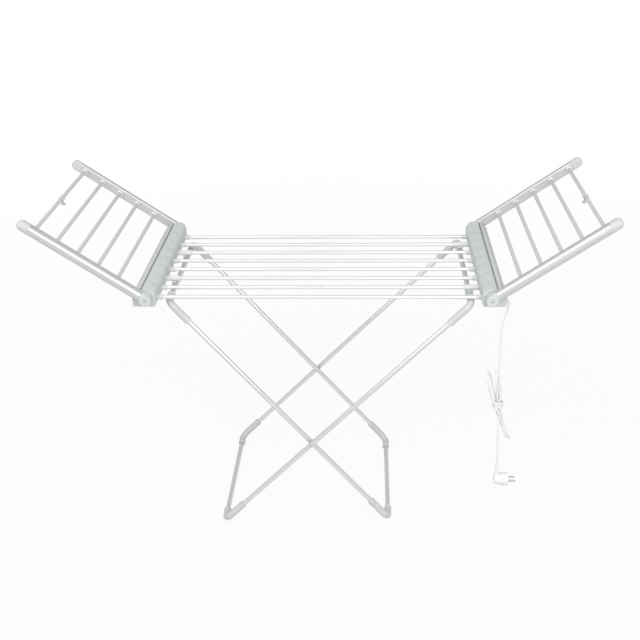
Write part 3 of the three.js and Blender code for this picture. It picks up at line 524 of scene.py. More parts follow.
def exitRoute(run):
    # straight out of the wall, then round a circle that turns the cord back under the housing
    values = cordValues
    heading = np.array([math.cos(values["exitFall"]), -math.sin(values["exitFall"])])
    start = np.array(values["exit"]) + heading * values["straight"]
    radius = values["bendRadius"]
    centre = start + radius * np.array([heading[1], -heading[0]])
    angle = math.pi / 2 - values["exitFall"] - run / radius
    curve = centre + radius * np.stack([np.cos(angle), np.sin(angle)], axis=1)
    flat = np.where(run[:, None] > 0, curve, start + run[:, None] * heading)
    return np.stack([flat[:, 0], np.full(len(run), values["plane"]), flat[:, 1]], axis=1)


def hankLoop(start, finish, reach, slant):
    # a strand opens out to its fold, turns half a circle and comes back to the next strand
    values = hankValues
    end = abs(reach) - values["fold"]
    half = (start[1] - finish[1]) / 2
    side = math.copysign(1, half)
    share = np.linspace(0, 1, 9)[:-1]
    width = side * (abs(half) + (values["fold"] - abs(half)) * smooth(share))
    height = values["run"] + (end - values["run"]) * share
    turn = np.linspace(0, np.pi, 17)
    across = np.concatenate([np.zeros(len(share)), turn / np.pi, np.ones(len(share))])
    offset = np.concatenate([width, side * values["fold"] * np.cos(turn), -width[::-1]])
    height = np.concatenate([height, end + values["fold"] * np.sin(turn), height[::-1]])
    x = start[0] + (finish[0] - start[0]) * across + slant * np.maximum(height - values["run"], 0)
    return np.stack([x, (start[1] + finish[1]) / 2 + offset, math.copysign(1, reach) * height], axis=1)


def hankRoute():
    # the loops lie side by side, and the cord's own end winds round their waist and drops to the plug
    values = hankValues
    count = len(values["loops"])
    index = np.arange(count)
    strand = np.stack(
        [((count - 1) / 2 - index) * values["step"], np.where(index % 2, 1, -1) * values["half"]], axis=1
    )

    def rim(angle):
        # a point on the circle of the winding
        return values["wrapRadius"] * np.stack([np.cos(angle), np.sin(angle)], axis=-1)

    def heading(angle):
        # the direction along it there
        return np.stack([-np.sin(angle), np.cos(angle)], axis=-1)

    start, end, bend = values["wrapStart"], values["wrapEnd"], values["wrapBend"]
    finish = [*strand[1:], rim(start) - heading(start) * bend]
    entry = values["entry"]
    parts = [[(*strand[0], entry), (*strand[0], entry - cordValues["diameter"])]]
    parts += [hankLoop(a, b, *loop) for a, b, loop in zip(strand, finish, values["loops"])]
    parts[-1] = parts[-1][:-1]
    drop = values["wrapPitch"] * (end - start) / (2 * math.pi)
    turn = np.linspace(0, math.pi / 2, 5)[:, None]
    lead = rim(start) - heading(start) * bend * np.cos(turn)
    parts.append(np.hstack([lead, drop / 2 + bend * (1 - np.sin(turn))]))
    share = np.linspace(0, 1, 61)[1:-1]
    parts.append(np.hstack([rim(start + (end - start) * share), drop * (0.5 - share)[:, None]]))
    leave = rim(end) + heading(end) * bend * np.sin(turn)
    parts.append(np.hstack([leave, -drop / 2 - bend * (1 - np.cos(turn))]))
    last = parts[-1][-1]
    share = np.linspace(0, 1, 10)
    top, bottom = last[2] - values["tailRun"], values["tailEnd"] - values["waist"][2]
    x = last[0] + values["tailShift"] * smooth(share)
    parts.append(np.stack([x, np.full(len(share), last[1]), top + (bottom - top) * share], axis=1))
    return np.concatenate(parts) + values["waist"]


def cordRoute(values):
    # one smooth curve through the points inside, the turn out of the wall, the fall and the hank
    outside = exitRoute(np.linspace(0, values["bendTurn"] * values["bendRadius"], 5))
    fall = [(x, values["plane"], z) for x, z in values["fall"]]
    return smoothPath(np.concatenate([values["inside"], outside, fall, hankRoute()]), values["spacing"])


sheathValues = {
    "colour": (0.86, 0.86, 0.855),
    "clayColour": (0.83, 0.83, 0.82),
    "scuffColour": (0.70, 0.70, 0.69),
    "lines": 3.0,
    "ripple": 140.0,
    "rippleRoughness": 0.14,
    "rippleHeight": 0.6,
    "patches": 30.0,
    "scuffShare": 0.5,
    "depth": 0.00003,
    "roughness": 0.42,
}


def sheathFinish(name, values):
    # soft extruded sheath: slow ripples round and along it, faint chalky patches, dull scuffs
    material, tree, shader, coordinates = newMaterial(name)
    sockets = {"UV": coordinates["UV"], "Lines": values["lines"], "Clouds": values["ripple"]}
    drawn = placeGroup(tree, drawnMetal, sockets)
    touched = placeGroup(tree, handling, {"Place": coordinates["Object"], "Patches": values["patches"]})
    chalky = addMix(tree, drawn["Clouds"], values["colour"], values["clayColour"])
    scuffs = times(tree, touched["Scuffs"], values["scuffShare"])
    scuffed = addMix(tree, scuffs, chalky, values["scuffColour"])
    rough = plusShare(tree, values["roughness"], drawn["Clouds"], values["rippleRoughness"])
    height = plusShare(tree, drawn["Height"], drawn["Clouds"], values["rippleHeight"])
    setSurface(tree, shader, scuffed, rough, height, values["depth"])
    return material


plugPlasticValues = {
    "colour": (0.86, 0.86, 0.855),
    "flowColour": (0.84, 0.84, 0.835),
    "speckColour": (0.79, 0.79, 0.785),
    "scuffColour": (0.66, 0.66, 0.655),
    "speckShare": 0.25,
    "scuffShare": 0.5,
    "grain": 1800.0,
    "flow": 40.0,
    "patches": 45.0,
    "roughness": 0.40,
    "speckRoughness": 0.12,
    "polish": 0.10,
    "depth": 0.00002,
}
pinMetalValues = {
    "colour": (0.42, 0.415, 0.40),
    "lineShade": -0.08,
    "cloudShade": 0.06,
    "cloudShare": 0.4,
    "edgeTint": 0.6,
    "lines": 9.0,
    "clouds": 160.0,
    "patches": 60.0,
    "roughness": 0.24,
    "lineRoughness": 0.10,
    "polish": 0.06,
    "metallic": 1.0,
    "depth": 0.000004,
}
cordSheath = sheathFinish("cordSheath", sheathValues)
plugPlastic = plasticFinish("plugPlastic", plugPlasticValues)
pinMetal = metalFinish("pinMetal", pinMetalValues)

cordPath = cordRoute(cordValues)
cordShape = swept(cordPath, cordValues["diameter"] / 2, cordValues["around"])
cord = makePiece("mainsCord", [cordShape], cordSheath, "panel", "cord_sheath", "supply_cord", "cord_hank")

reliefValues = {
    "inside": 0.0068,
    "outside": 0.024,
    "root": 0.0048,
    "tip": 0.0037,
    "groove": 0.0007,
    "grooves": 6,
    "grooved": (0.22, 0.93),  # shares of its length between which the grooves are pressed in
    "fades": (0.08, 0.06),
    "lip": 0.0006,
    "lipShare": 0.03,
}


def addRelief(values):
    # a sleeve that tapers along the cord, with rings pressed into it where it bends: a squared cosine wave
    run = np.linspace(-values["inside"], values["outside"], 90)
    share = (run + values["inside"]) / (values["inside"] + values["outside"])
    wave = 0.5 + 0.5 * np.cos(2 * np.pi * values["grooves"] * share)
    first, last = values["grooved"]
    window = smooth((share - first) / values["fades"][0]) * smooth((last - share) / values["fades"][1])
    radius = values["root"] + (values["tip"] - values["root"]) * share - values["groove"] * window * wave**2
    radius -= values["lip"] * smooth((share - 1 + values["lipShare"]) / values["lipShare"])
    shape = swept(exitRoute(run), radius, 32)
    return makePiece("strainRelief", [shape], plugPlastic, "panel", "plug_plastic", "strain_relief")


relief = addRelief(reliefValues)

plugValues = {
    "neckTop": 0.214,
    "axisDrop": 0.047,
    "cordOffset": 0.007,
    "backDiameter": 0.025,
    "backLength": 0.027,
    "faceDiameter": 0.037,
    "faceLength": 0.0115,
    "centre": 0.001,  # radius at which the body is closed on its axis
    "step": 0.0007,
    "stepAt": 0.004,
    "stepRun": 0.0008,
    "faceRim": 0.005,
    "faceDip": 0.0008,
    "dipSlope": 0.0006,
    "grips": (0.62, 0.74, 0.86),  # shares of the back's length
    "gripWidth": 0.0009,
    "gripDepth": 0.0006,
    "neckDiameter": 0.013,
    "neckTip": 0.0084,
    "ribPitch": 0.0042,
    "ribDepth": 0.0007,
    "ribFrom": 0.003,
    "ribTo": 0.72,  # share of the neck's bare length
    "ribFades": (0.002, 0.003),
    "pinDiameter": 0.0048,
    "pinLength": 0.019,
    "pinSpacing": 0.019,
    "pinSunk": 0.0012,
    "pinRound": 0.0016,
    "pinCentre": 0.0003,
}


def addPlug(values):
    # an angled plug: a body that widens to its round face, a ribbed neck from above and two pins
    neckX, y, _ = cordPath[-1]
    axisZ = values["neckTop"] - values["axisDrop"]
    back = neckX - values["cordOffset"]
    small, wide, centre = values["backDiameter"] / 2, values["faceDiameter"] / 2, values["centre"]
    middle, rim = values["backLength"], wide - values["step"]
    face = middle + values["faceLength"]
    stepped, bottom = middle + values["stepAt"], face - values["faceDip"]
    grips = [
        (small + (wide - small) * share - depth, middle * share + shift, 0.0003)
        for share in values["grips"]
        for depth, shift in ((0, -values["gripWidth"]), (values["gripDepth"], 0), (0, values["gripWidth"]))
    ]
    line = [
        (centre, 0, 0),
        (small, 0, 0.003),
        *grips,
        (wide, middle, 0.003),
        (wide, stepped, 0.0003),
        (rim, stepped + values["stepRun"], 0.0003),
        (rim, face, 0.001),
        (wide - values["faceRim"], face, 0.0003),
        (wide - values["faceRim"] - values["dipSlope"], bottom, 0.0003),
        (centre, bottom, 0),
    ]
    body = spun(rounded(line, closed=False), (back, y, axisZ), (1, 0, 0), 72)
    drop = values["axisDrop"] - small
    along = np.linspace(0, values["axisDrop"], 80)
    taper = values["neckTip"] / 2 + (values["neckDiameter"] - values["neckTip"]) / 2 * smooth(along / drop)
    ribs = 0.5 + 0.5 * np.cos(2 * np.pi * along / values["ribPitch"])
    first, last = values["ribFades"]
    ribbed = smooth((along - values["ribFrom"]) / first) * smooth((drop * values["ribTo"] - along) / last)
    taper -= values["ribDepth"] * ribs**2 * ribbed
    neck = spun(np.stack([taper, along], axis=1), (neckX, y, values["neckTop"]), (0, 0, -1), 40)
    plug = makePiece("plugBody", [body, neck], plugPlastic, "panel", "plug_plastic", "plug")
    radius, length = values["pinDiameter"] / 2, values["pinLength"] + values["pinSunk"]
    point, tip = values["pinCentre"], values["pinRound"]
    line = [(point, 0, 0), (radius, 0, 0.0001), (radius, length, tip), (point, length, 0)]
    line = rounded(line, closed=False, steps=6)
    places = [(back + face - values["pinSunk"], y + s * values["pinSpacing"] / 2, axisZ) for s in (-1, 1)]
    shapes = [spun(line, place, (1, 0, 0), 28) for place in places]
    return plug, makePiece("plugPins", shapes, pinMetal, "panel", "plug_plastic")


plug, pins = addPlug(plugValues)
print("lead: %.3f m of cord" % runLength(cordPath)[-1])

# Finishes of the airer itself

railMetalValues = {
    "colour": (0.62, 0.625, 0.625),
    "lineShade": -0.04,
    "cloudShade": -0.025,
    "cloudShare": 0.5,
    "edgeTint": 0.6,
    "lines": 26.0,
    "clouds": 8.0,
    "patches": 9.0,
    "roughness": 0.38,
    "lineRoughness": 0.05,
    "polish": 0.05,
    "metallic": 0.60,
    "depth": 0.000004,
}
warmBarValues = {
    **railMetalValues,
    "colour": (0.80, 0.805, 0.805),
    "cloudShade": -0.03,
    "lines": 14.0,
    "clouds": 14.0,
    "roughness": 0.30,
    "metallic": 0.5,
}
wingBarValues = {
    **warmBarValues,
    "colour": (0.67, 0.675, 0.675),
    "lineShade": -0.03,
    "cloudShade": -0.02,
    "roughness": 0.42,
    "metallic": 0.15,
}
legTubeValues = {
    **warmBarValues,
    "colour": (0.72, 0.725, 0.725),
    "lines": 16.0,
    "clouds": 12.0,
    "roughness": 0.26,
    "metallic": 0.72,
}
rivetMetalValues = {
    **pinMetalValues,
    "colour": (0.62, 0.625, 0.625),
    "lineShade": -0.10,
    "cloudShade": 0.04,
    "lines": 7.0,
    "roughness": 0.30,
}
housingPlasticValues = {
    "colour": (0.598, 0.636, 0.622),
    "flowColour": (0.616, 0.652, 0.638),
    "speckColour": (0.558, 0.596, 0.582),
    "scuffColour": (0.68, 0.71, 0.70),
    "speckShare": 0.35,
    "scuffShare": 0.3,
    "grain": 1100.0,
    "flow": 9.0,
    "patches": 12.0,
    "roughness": 0.46,
    "speckRoughness": 0.14,
    "polish": 0.12,
    "depth": 0.00002,
}
fittingPlasticValues = {
    **housingPlasticValues,
    "colour": (0.80, 0.815, 0.81),
    "flowColour": (0.82, 0.835, 0.83),
    "speckColour": (0.75, 0.765, 0.76),
    "scuffColour": (0.86, 0.87, 0.87),
    "grain": 1300.0,
    "flow": 24.0,
    "patches": 22.0,
    "roughness": 0.42,
}
ferrulePlasticValues = {
    **fittingPlasticValues,
    "colour": (0.695, 0.708, 0.703),
    "flowColour": (0.715, 0.728, 0.723),
    "speckColour": (0.65, 0.663, 0.658),
    "scuffColour": (0.77, 0.78, 0.78),
}
elbowPlasticValues = {
    **fittingPlasticValues,
    "colour": (0.605, 0.617, 0.613),
    "flowColour": (0.625, 0.637, 0.633),
    "speckColour": (0.565, 0.577, 0.573),
    "scuffColour": (0.70, 0.71, 0.71),
    "roughness": 0.46,
}
blockPlasticValues = {
    **plugPlasticValues,
    "colour": (0.74, 0.70, 0.60),
    "flowColour": (0.77, 0.73, 0.64),
    "speckColour": (0.66, 0.62, 0.52),
}
siliconeValues = {
    **sheathValues,
    "colour": (0.36, 0.055, 0.040),
    "clayColour": (0.42, 0.085, 0.065),
    "scuffColour": (0.50, 0.20, 0.17),
    "roughness": 0.5,
}
railMetal = metalFinish("railMetal", railMetalValues)
warmBarMetal = metalFinish("warmBarMetal", warmBarValues)
wingBarMetal = metalFinish("wingBarMetal", wingBarValues)
legMetal = metalFinish("legMetal", legTubeValues)
rivetMetal = metalFinish("rivetMetal", rivetMetalValues)
housingPlastic = plasticFinish("housingPlastic", housingPlasticValues)
fittingPlastic = plasticFinish("fittingPlastic", fittingPlasticValues)
ferrulePlastic = plasticFinish("ferrulePlastic", ferrulePlasticValues)
elbowPlastic = plasticFinish("elbowPlastic", elbowPlasticValues)
blockPlastic = plasticFinish("blockPlastic", blockPlasticValues)
silicone = sheathFinish("siliconeSleeve", siliconeValues)
print("finishes made")

# Screws

screwValues = {
    "radius": 0.0036,
    "height": 0.0010,
    "dome": 0.0004,
    "slot": 0.0007,
    "slotReach": 0.0023,
    "slotDepth": 0.0009,
    "slotEdge": 0.0003,
    "inner": (0.02, 0.72),  # shares of the radius between which the inner rings lie
    "rim": (0.8, 0.88, 0.94, 0.98, 1.0, 1.0, 1.0),
    "rimFall": (0.05, 0.15, 0.35, 0.7, 1.3),  # shares of the height that the last rings drop
}


def screwHead(place, axis):
    # height over the face as a function of radius and angle: a low dome that falls with the square of the
    # radius, a rounded rim, and a cross pressed into it
    values = screwValues
    axis, side, other = crossAxes(np.array(axis, float))
    share = np.concatenate([np.linspace(*values["inner"], 15), values["rim"]])
    angle = np.linspace(0, 2 * np.pi, 49)[:-1]
    x = values["radius"] * share[:, None] * np.cos(angle)
    y = values["radius"] * share[:, None] * np.sin(angle)
    narrow, wide = np.minimum(np.abs(x), np.abs(y)), np.maximum(np.abs(x), np.abs(y))
    edge, fall = values["slotEdge"], np.zeros(len(share))
    cross = smooth((values["slot"] - narrow) / edge) * smooth((values["slotReach"] - wide) / edge)
    fall[-len(values["rimFall"]) :] = values["rimFall"]
    height = values["height"] + values["dome"] * (1 - share**2)[:, None] - values["slotDepth"] * cross
    height = height - values["height"] * fall[:, None]
    rings = np.array(place) + x[..., None] * side + y[..., None] * other + height[..., None] * axis
    return ringed(rings, values["radius"] * share)


# Panel: warm bars between two end housings

barValues = {"count": 8, "pitch": 0.062, "radius": 0.005, "end": 0.4178, "edge": 0.0004}
barPlaces = (np.arange(barValues["count"]) - (barValues["count"] - 1) / 2) * barValues["pitch"]


def addBars(values):
    # straight rods, one pitch apart across the panel
    end = values["end"]
    for index, y in enumerate(barPlaces, 1):
        start = (-end, y, layout["barZ"])
        bar = rod(values["radius"], 2 * end, start, (1, 0, 0), 36, values["edge"])
        makePiece("warmBar%d" % index, [bar], warmBarMetal, "panel", "panel_bar", "centre_bar_%d" % index)


addBars(barValues)

housingValues = {
    "radius": 0.0205,
    "wall": 0.002,
    "depth": 0.025,
    "reach": 0.037,
    "inset": 0.0182,
    "wallTop": 0.008,
    "skirt": 0.014,
    "ledgeInner": 0.01111,
    "ledgeOuter": 0.00737,
    "ledgeBreak": 0.020,
    "ledgeLead": 0.002,
    "ledgeLip": 0.007,
    "heel": 0.004,
    "end": 0.2467,
    "plate": 0.0045,
    "plateRise": 0.0006,
    "plateEdge": 0.0009,
    "plateLap": 0.0005,  # the tray runs this far into its end plates
    "plateFoot": 0.004,
    "archRadius": 0.0076,
    "archBeside": (0.00764, 0.013, 0.019, 0.025, 0.0285),  # rings of the cover between arch and crease
    "ferruleRadius": 0.0066,
    "ferruleReach": 0.0158,
    "ferruleFoot": 0.0007,
    "ferruleSwell": [(0.55, 0.3), (0.8, 1.0)],  # shares of its reach and of what its foot adds
    "boreRadius": 0.0053,
    "slant": 0.0118,
    "ridge": -0.001,
    "shoulder": 0.009,
    "ridgeRadius": 0.022,
    "crown": 0.0095,
    "flute": 0.0030,
    "fluteRise": 0.25,
    "fluteEnd": 0.012,
    "fluteFade": 0.6,  # share of the radius
    "rimEdge": 0.0005,
    "rimWidth": 0.0006,
    "screwPlaces": (-0.205, -0.07, 0.07, 0.205),
    "screwOut": 0.010,
    "screwGap": 0.0001,
    "trayEdge": 0.0001,
    "coverWrap": 0.15,  # metres round the cover's section, for its UV
}
barDrop = layout["pivotZ"] - layout["barZ"]


def evenly(line, count):
    # the same line read again at equal steps of its length
    at = runLength(line)
    place = np.linspace(0, at[-1], count)
    return np.stack([np.interp(place, at, line[:, 0]), np.interp(place, at, line[:, 1])], axis=1)


def coverTop(values, grow=0.0):
    # from the axis height up the panel side, over a slanting face and the flat top and down to the ledge. An
    # end plate's line is grown all round.
    left, right, top = -values["radius"] - grow, values["ledgeInner"], values["radius"] + grow
    foot = math.sqrt(values["radius"] ** 2 - right**2)
    corners = [
        (left, 0, 0),
        (left, values["slant"] + grow, values["shoulder"] + grow),
        (values["ridge"], top, values["ridgeRadius"]),
        (foot + grow, top, values["crown"] + grow),
        (foot + grow, right + layout["fit"], 0),
    ]
    return rounded(corners, closed=False, steps=14)


def coverShell(origin, side, values):
    # a wall section with rounded shoulders carried across the panel. At each ferrule its lower edge rises in
    # half a circle. Over each bar the wall bulges by a parabola of the distance to it, so neighbours meet in
    # a crease.
    half, bow = values["end"] - values["plate"] - layout["fit"], values["archRadius"]
    arch = np.linspace(-1, 1, 25)
    arch = np.sign(arch) * np.sin(np.abs(arch) * np.pi / 2) * bow
    beside = np.array(values["archBeside"])
    local = np.concatenate([-beside[::-1], arch, beside])
    crease = barPlaces[:-1] + barValues["pitch"] / 2
    rims = values["rimWidth"] * np.array([0, 1 / 3, 1])
    y = np.sort(np.concatenate([(barPlaces[:, None] + local).ravel(), crease, rims - half, half - rims]))
    y = y[np.abs(y) <= half + 1e-9]
    near = np.abs(y[:, None] - barPlaces).min(1)
    rise = np.sqrt(np.maximum(bow**2 - near**2, 0))
    low = np.where(near <= bow + 1e-6, -barDrop + rise, -values["skirt"])
    bulge = values["flute"] * (values["fluteRise"] - (2 * near / barValues["pitch"]) ** 2)
    inward = 1 - np.clip((half - np.abs(y)) / values["rimWidth"], 0, 1)
    rim = values["rimEdge"] * (1 - np.sqrt(1 - inward**2))
    top = evenly(coverTop(values), 56)
    heading = unit(np.gradient(top, axis=0))
    normal = np.stack([-heading[:, 1], heading[:, 0]], axis=1)
    fadeRun = values["fluteEnd"] + values["fluteFade"] * values["radius"]
    fade = smooth((values["fluteEnd"] - top[:, 0]) / fadeRun)
    up = np.linspace(0, 1, 9)[:-1]

    def wall(offset):
        # offset: one distance outwards for each place across and along the section
        grown = top + offset[..., None] * normal
        x = np.broadcast_to(grown[:, :1, 0], (len(y), len(up)))
        return np.concatenate([np.stack([x, low[:, None] * (1 - up)], axis=-1), grown], axis=1)

    outside = wall(bulge[:, None] * fade - rim[:, None])
    inside = wall(bulge[:, None] * fade - values["wall"])
    section = np.concatenate([outside, inside[:, ::-1]], axis=1)
    x = origin[0] + side * section[..., 0]
    rings = np.stack([x, np.broadcast_to(y[:, None], x.shape), origin[2] + section[..., 1]], axis=-1)
    return ringed(rings, y - y[0], wrap=values["coverWrap"])


def trayShape(origin, side, values):
    # the tray's wall in section, round from its top on the panel side, under the ledge and back inside
    radius, wall, floor, reach = values["radius"], values["wall"], -values["depth"], values["reach"]
    inset, step, top = -values["inset"], -values["skirt"] - layout["fit"], -values["wallTop"]
    ledge, outerLedge, lip = values["ledgeInner"], values["ledgeOuter"], radius - values["ledgeLip"]
    line = [
        (inset, top, 0.0004),
        (inset, step, 0.0004),
        (-radius, step, 0.0005),
        (-radius, floor + values["heel"], 0.002),
        (-radius + values["heel"], floor, 0.002),
        (reach, floor, 0.0025),
        (reach, outerLedge, 0.0012),
        (values["ledgeBreak"], ledge, 0.004),
        (lip, ledge, 0.0004),
        (lip, ledge - wall, 0.0004),
        (values["ledgeBreak"], ledge - wall, 0.003),
        (reach - wall, outerLedge - wall, 0.0006),
        (reach - wall, floor + wall, 0.0012),
        (inset + wall, floor + wall, 0.0012),
        (inset + wall, top, 0.0004),
    ]
    half = values["end"] - values["plate"] + values["plateLap"]
    return pulled(rounded(line), -half, half, values["trayEdge"], origin, side)


def plateShapes(origin, side, values):
    # an end plate at each side, which stands a little proud of the cover and the tray
    rise, floor, out = values["plateRise"], -values["depth"], -values["radius"]
    ledge, rim = values["ledgeInner"] + rise, values["reach"] + rise
    rest = [
        (values["ledgeBreak"] - values["ledgeLead"], ledge, 0),
        (values["ledgeBreak"], ledge, 0.002),
        (rim, values["ledgeOuter"] + rise, 0.0012),
        (rim, floor - rise, 0.0025),
        (out - rise + values["heel"], floor - rise, 0.002),
        (out - rise, floor + values["heel"], 0.002),
        (out - rise, -values["plateFoot"], 0),
    ]
    line = np.concatenate([coverTop(values, rise), rounded(rest, closed=False)])
    lows = (-values["end"], values["end"] - values["plate"])
    return [pulled(line, low, low + values["plate"], values["plateEdge"], origin, side) for low in lows]


def ferruleShapes(side, values):
    # a bored sleeve at each bar, a little thicker where it enters the tray
    radius, bore = values["ferruleRadius"], values["boreRadius"]
    reach, foot = values["ferruleReach"], values["ferruleFoot"]
    line = [
        (bore, 0, 0.0002),
        (radius, 0, 0.0009),
        *[(radius + foot * grow, reach * at, 0.004) for at, grow in values["ferruleSwell"]],
        (radius + foot, reach + values["wall"], 0.0002),
        (bore, reach + values["wall"], 0.0002),
    ]
    tip = side * (layout["pivotX"] - values["inset"] - reach)
    return [spun(rounded(line), (tip, y, layout["barZ"]), (side, 0, 0), 36, looped=True) for y in barPlaces]


def addHousing(name, side, values):
    # a tray with its end plates, a ferrule for each bar, a cover over them and a row of screws below
    origin = np.array([side * layout["pivotX"], 0, layout["pivotZ"]])
    tray = [trayShape(origin, side, values), *plateShapes(origin, side, values)]
    cover = coverShell(origin, side, values)
    x, z = origin[0] + side * values["screwOut"], layout["pivotZ"] - values["depth"] - values["screwGap"]
    screws = [screwHead((x, y, z), (0, 0, -1)) for y in values["screwPlaces"]]
    plastic = (housingPlastic, "panel", "housing_plastic")
    makePiece(name + "HousingTray", tray, *plastic, name + "_housing_base")
    makePiece(name + "Ferrules", ferruleShapes(side, values), ferrulePlastic, "panel", "fitting_plastic")
    makePiece(name + "HousingCover", [cover], *plastic, name + "_housing_cover")
    makePiece(name + "HousingScrews", screws, rivetMetal, "panel", "leg_tube")


for name, side in sides:
    addHousing(name, side, housingValues)
print("panel and housings made")

# Clips between the panel bars and the leg frames

clipValues = {
    "barDrop": 0.0165,
    "sleeveRadius": 0.00725,
    "sleeveBore": 0.0053,
    "sleeveStart": 0.014,
    "sleeveEnd": 0.0252,
    "seatBore": 0.0063,
    "seatStart": 0.0117,
    "ringInner": 0.0068,
    "ringOuter": 0.0105,
    "width": 0.014,
    "webWidth": 0.007,
    "webEdge": 0.0004,
    "webRadius": 0.0003,
    # X and height of the web's corners from the middle of the ring
    "web": [(0.0019, 0.0080), (0.0098, 0.0034), (0.0102, 0.0125), (0.0019, 0.0125)],
    "hookEnd": 85,  # degrees from X, as the next two
    "snapAt": 225,
    "snapMouth": 60,
    "edge": 0.0007,
    "openY": 0.093,
    "snapY": 0.155,
}


def clipRing(outer, inner, start, end):
    # a flat ring between two directions, its two ends rounded like lips
    middle, half = (outer + inner) / 2, (outer - inner) / 2
    tip, root = math.radians(end), math.radians(start)
    parts = [
        arcLine(outer, start, end, 48),
        arcLine(half, end, end + 180, 8, (middle * math.cos(tip), middle * math.sin(tip)))[1:-1],
        arcLine(inner, end, start, 48),
        arcLine(half, start + 180, start + 360, 8, (middle * math.cos(root), middle * math.sin(root)))[1:-1],
    ]
    return np.concatenate(parts)


def addClip(name, side, y, start, end, node, values):
    # a ring or open hook round the leg frame's top bar, a bored sleeve on the panel bar above it, and a web
    # between the two
    origin = np.array([side * layout["legTopX"], y, layout["legTopZ"]])
    line = clipRing(values["ringOuter"], values["ringInner"], start, end)
    half, halfWeb = values["width"] / 2, values["webWidth"] / 2
    ring = pulled(line, -half, half, values["edge"], origin, side)
    web = rounded([(*corner, values["webRadius"]) for corner in values["web"]])
    web = pulled(web, -halfWeb, halfWeb, values["webEdge"], origin, side)
    bore, seat, radius = values["sleeveBore"], values["seatBore"], values["sleeveRadius"]
    line = [
        (bore, -values["sleeveStart"], 0.0003),
        (radius, -values["sleeveStart"], 0.0010),
        (radius, values["sleeveEnd"], 0.0006),
        (seat, values["sleeveEnd"], 0.0002),
        (seat, values["seatStart"], 0.0002),
        (bore, values["seatStart"], 0.0002),
    ]
    sleeve = spun(rounded(line), origin + [0, 0, values["barDrop"]], (side, 0, 0), 48, looped=True)
    makePiece(name + "Sleeve", [sleeve], ferrulePlastic, "panel", "fitting_plastic")
    makePiece(name + "Ring", [ring, web], housingPlastic, "panel", "fitting_plastic", node)


def addClips(values):
    # at each end an open hook on the left, and on the right a snap ring that is open at its mouth
    hook, snap, mouth = values["hookEnd"], values["snapAt"], values["snapMouth"] / 2
    for where, sign in ends:
        node = "_clip_" + where.lower()
        addClip("leftClip" + where, -1, sign * values["openY"], -hook, hook, "left" + node, values)
        start, end = snap + mouth - 360, snap - mouth
        addClip("rightClip" + where, 1, sign * values["snapY"], start, end, "right" + node, values)


addClips(clipValues)
print("clips made")

# Wings

wingValues = {
    "railRadius": 0.0135,
    "flatSide": 0.0105,
    "flatPower": 0.42,
    "reach": 0.346,
    "tipLength": 0.016,
    "roundRadius": 0.014,
    "roundTurn": math.radians(87),
    "roundPowers": (0.8, 0.35),  # how soon the outer side and the flat side of the tip close in
    "tipProud": 0.0002,
    "tubeStart": 0.0176,
    "edge": 0.0003,
    "ringGap": 0.001,
    "discRadius": 0.0150,
    "discFront": 0.0132,
    "discBack": 0.0112,
    "recessRadius": 0.0062,
    "recessDepth": 0.0005,
    "recessSlope": 0.0003,
    "screwSunk": 0.0006,
    "neckInset": 0.0018,
    "neckSpigot": 0.006,
    "neckSlim": 0.0009,
    "neckEdge": 0.0004,
    "neckRing": 0.004,
    "pinRadius": 0.004,
    "pinLength": 0.011,
    "barCount": 6,
    "barPitch": 0.0578,
    "barFirst": 0.028,
    "barRadius": 0.005,
    "barEnd": 0.251,
    "collarRadius": 0.0084,
    "collarFoot": 0.0006,
    "collarMouth": 0.0062,
    "collarBore": 0.0053,
    "collarReach": 0.0215,
    "collarRoot": 0.0005,
    "collarFootRise": 0.0012,
    "collarTaper": 0.0003,
    "collarNose": 0.003,
}
hookValues = {
    "outer": 0.0075,
    "inner": 0.0053,
    "width": 0.014,
    "gap": 70,  # degrees, as the next
    "gapAt": 45,
    "tail": 0.017,
    "thick": 0.0045,
    "shift": 0.00045,
    "toe": 0.005,
    "toeHeight": 0.003,
    "edge": 0.0006,
}


def railBody(base, along, up, sign, run, height, outer, inner):
    # the section at each run: half an ellipse on the outer side, and on the inner one half a superellipse,
    # which is a flat face with rounded corners. Height, outer and inner are its half sizes.
    angle = np.linspace(0, 2 * np.pi, 73)[:-1]
    c, s = np.cos(angle), np.sin(angle)
    power = np.where(c >= 0, 1.0, wingValues["flatPower"])
    c, s = np.sign(c) * np.abs(c) ** power, np.sign(s) * np.abs(s) ** power
    run, height, outer, inner = (np.broadcast_to(v, len(run))[:, None] for v in (run, height, outer, inner))
    across = sign * np.where(c >= 0, outer, inner) * c
    yAxis = np.array([0, 1.0, 0])
    rings = np.array(base) + run[..., None] * along + (height * s)[..., None] * up + across[..., None] * yAxis
    return ringed(rings, run[:, 0])


def addHook(name, side, place, values):
    # an open ring round the bar, and a tail below it that ends in a toe
    start, half, shift = values["gapAt"] + values["gap"] / 2, values["width"] / 2, values["shift"]
    ring = clipRing(values["outer"], values["inner"], start, start + 360 - values["gap"])
    left, right = -values["thick"] / 2 - shift, values["thick"] / 2 - shift
    top, low = -(values["inner"] + values["outer"]) / 2, -values["tail"]
    toe, toeTop = left - values["toe"], low + values["toeHeight"]
    tail = [
        (right, top, 0.0002),
        (right, low, 0.0016),
        (toe, low, 0.0012),
        (toe, toeTop, 0.0010),
        (left, toeTop, 0.0012),
        (left, top, 0.0002),
    ]
    shapes = [pulled(line, -half, half, values["edge"], place, side) for line in (ring, rounded(tail))]
    node = name + "_wing_hook"
    makePiece(name + "WingHook", shapes, housingPlastic, name + "_hook", "fitting_plastic", node)


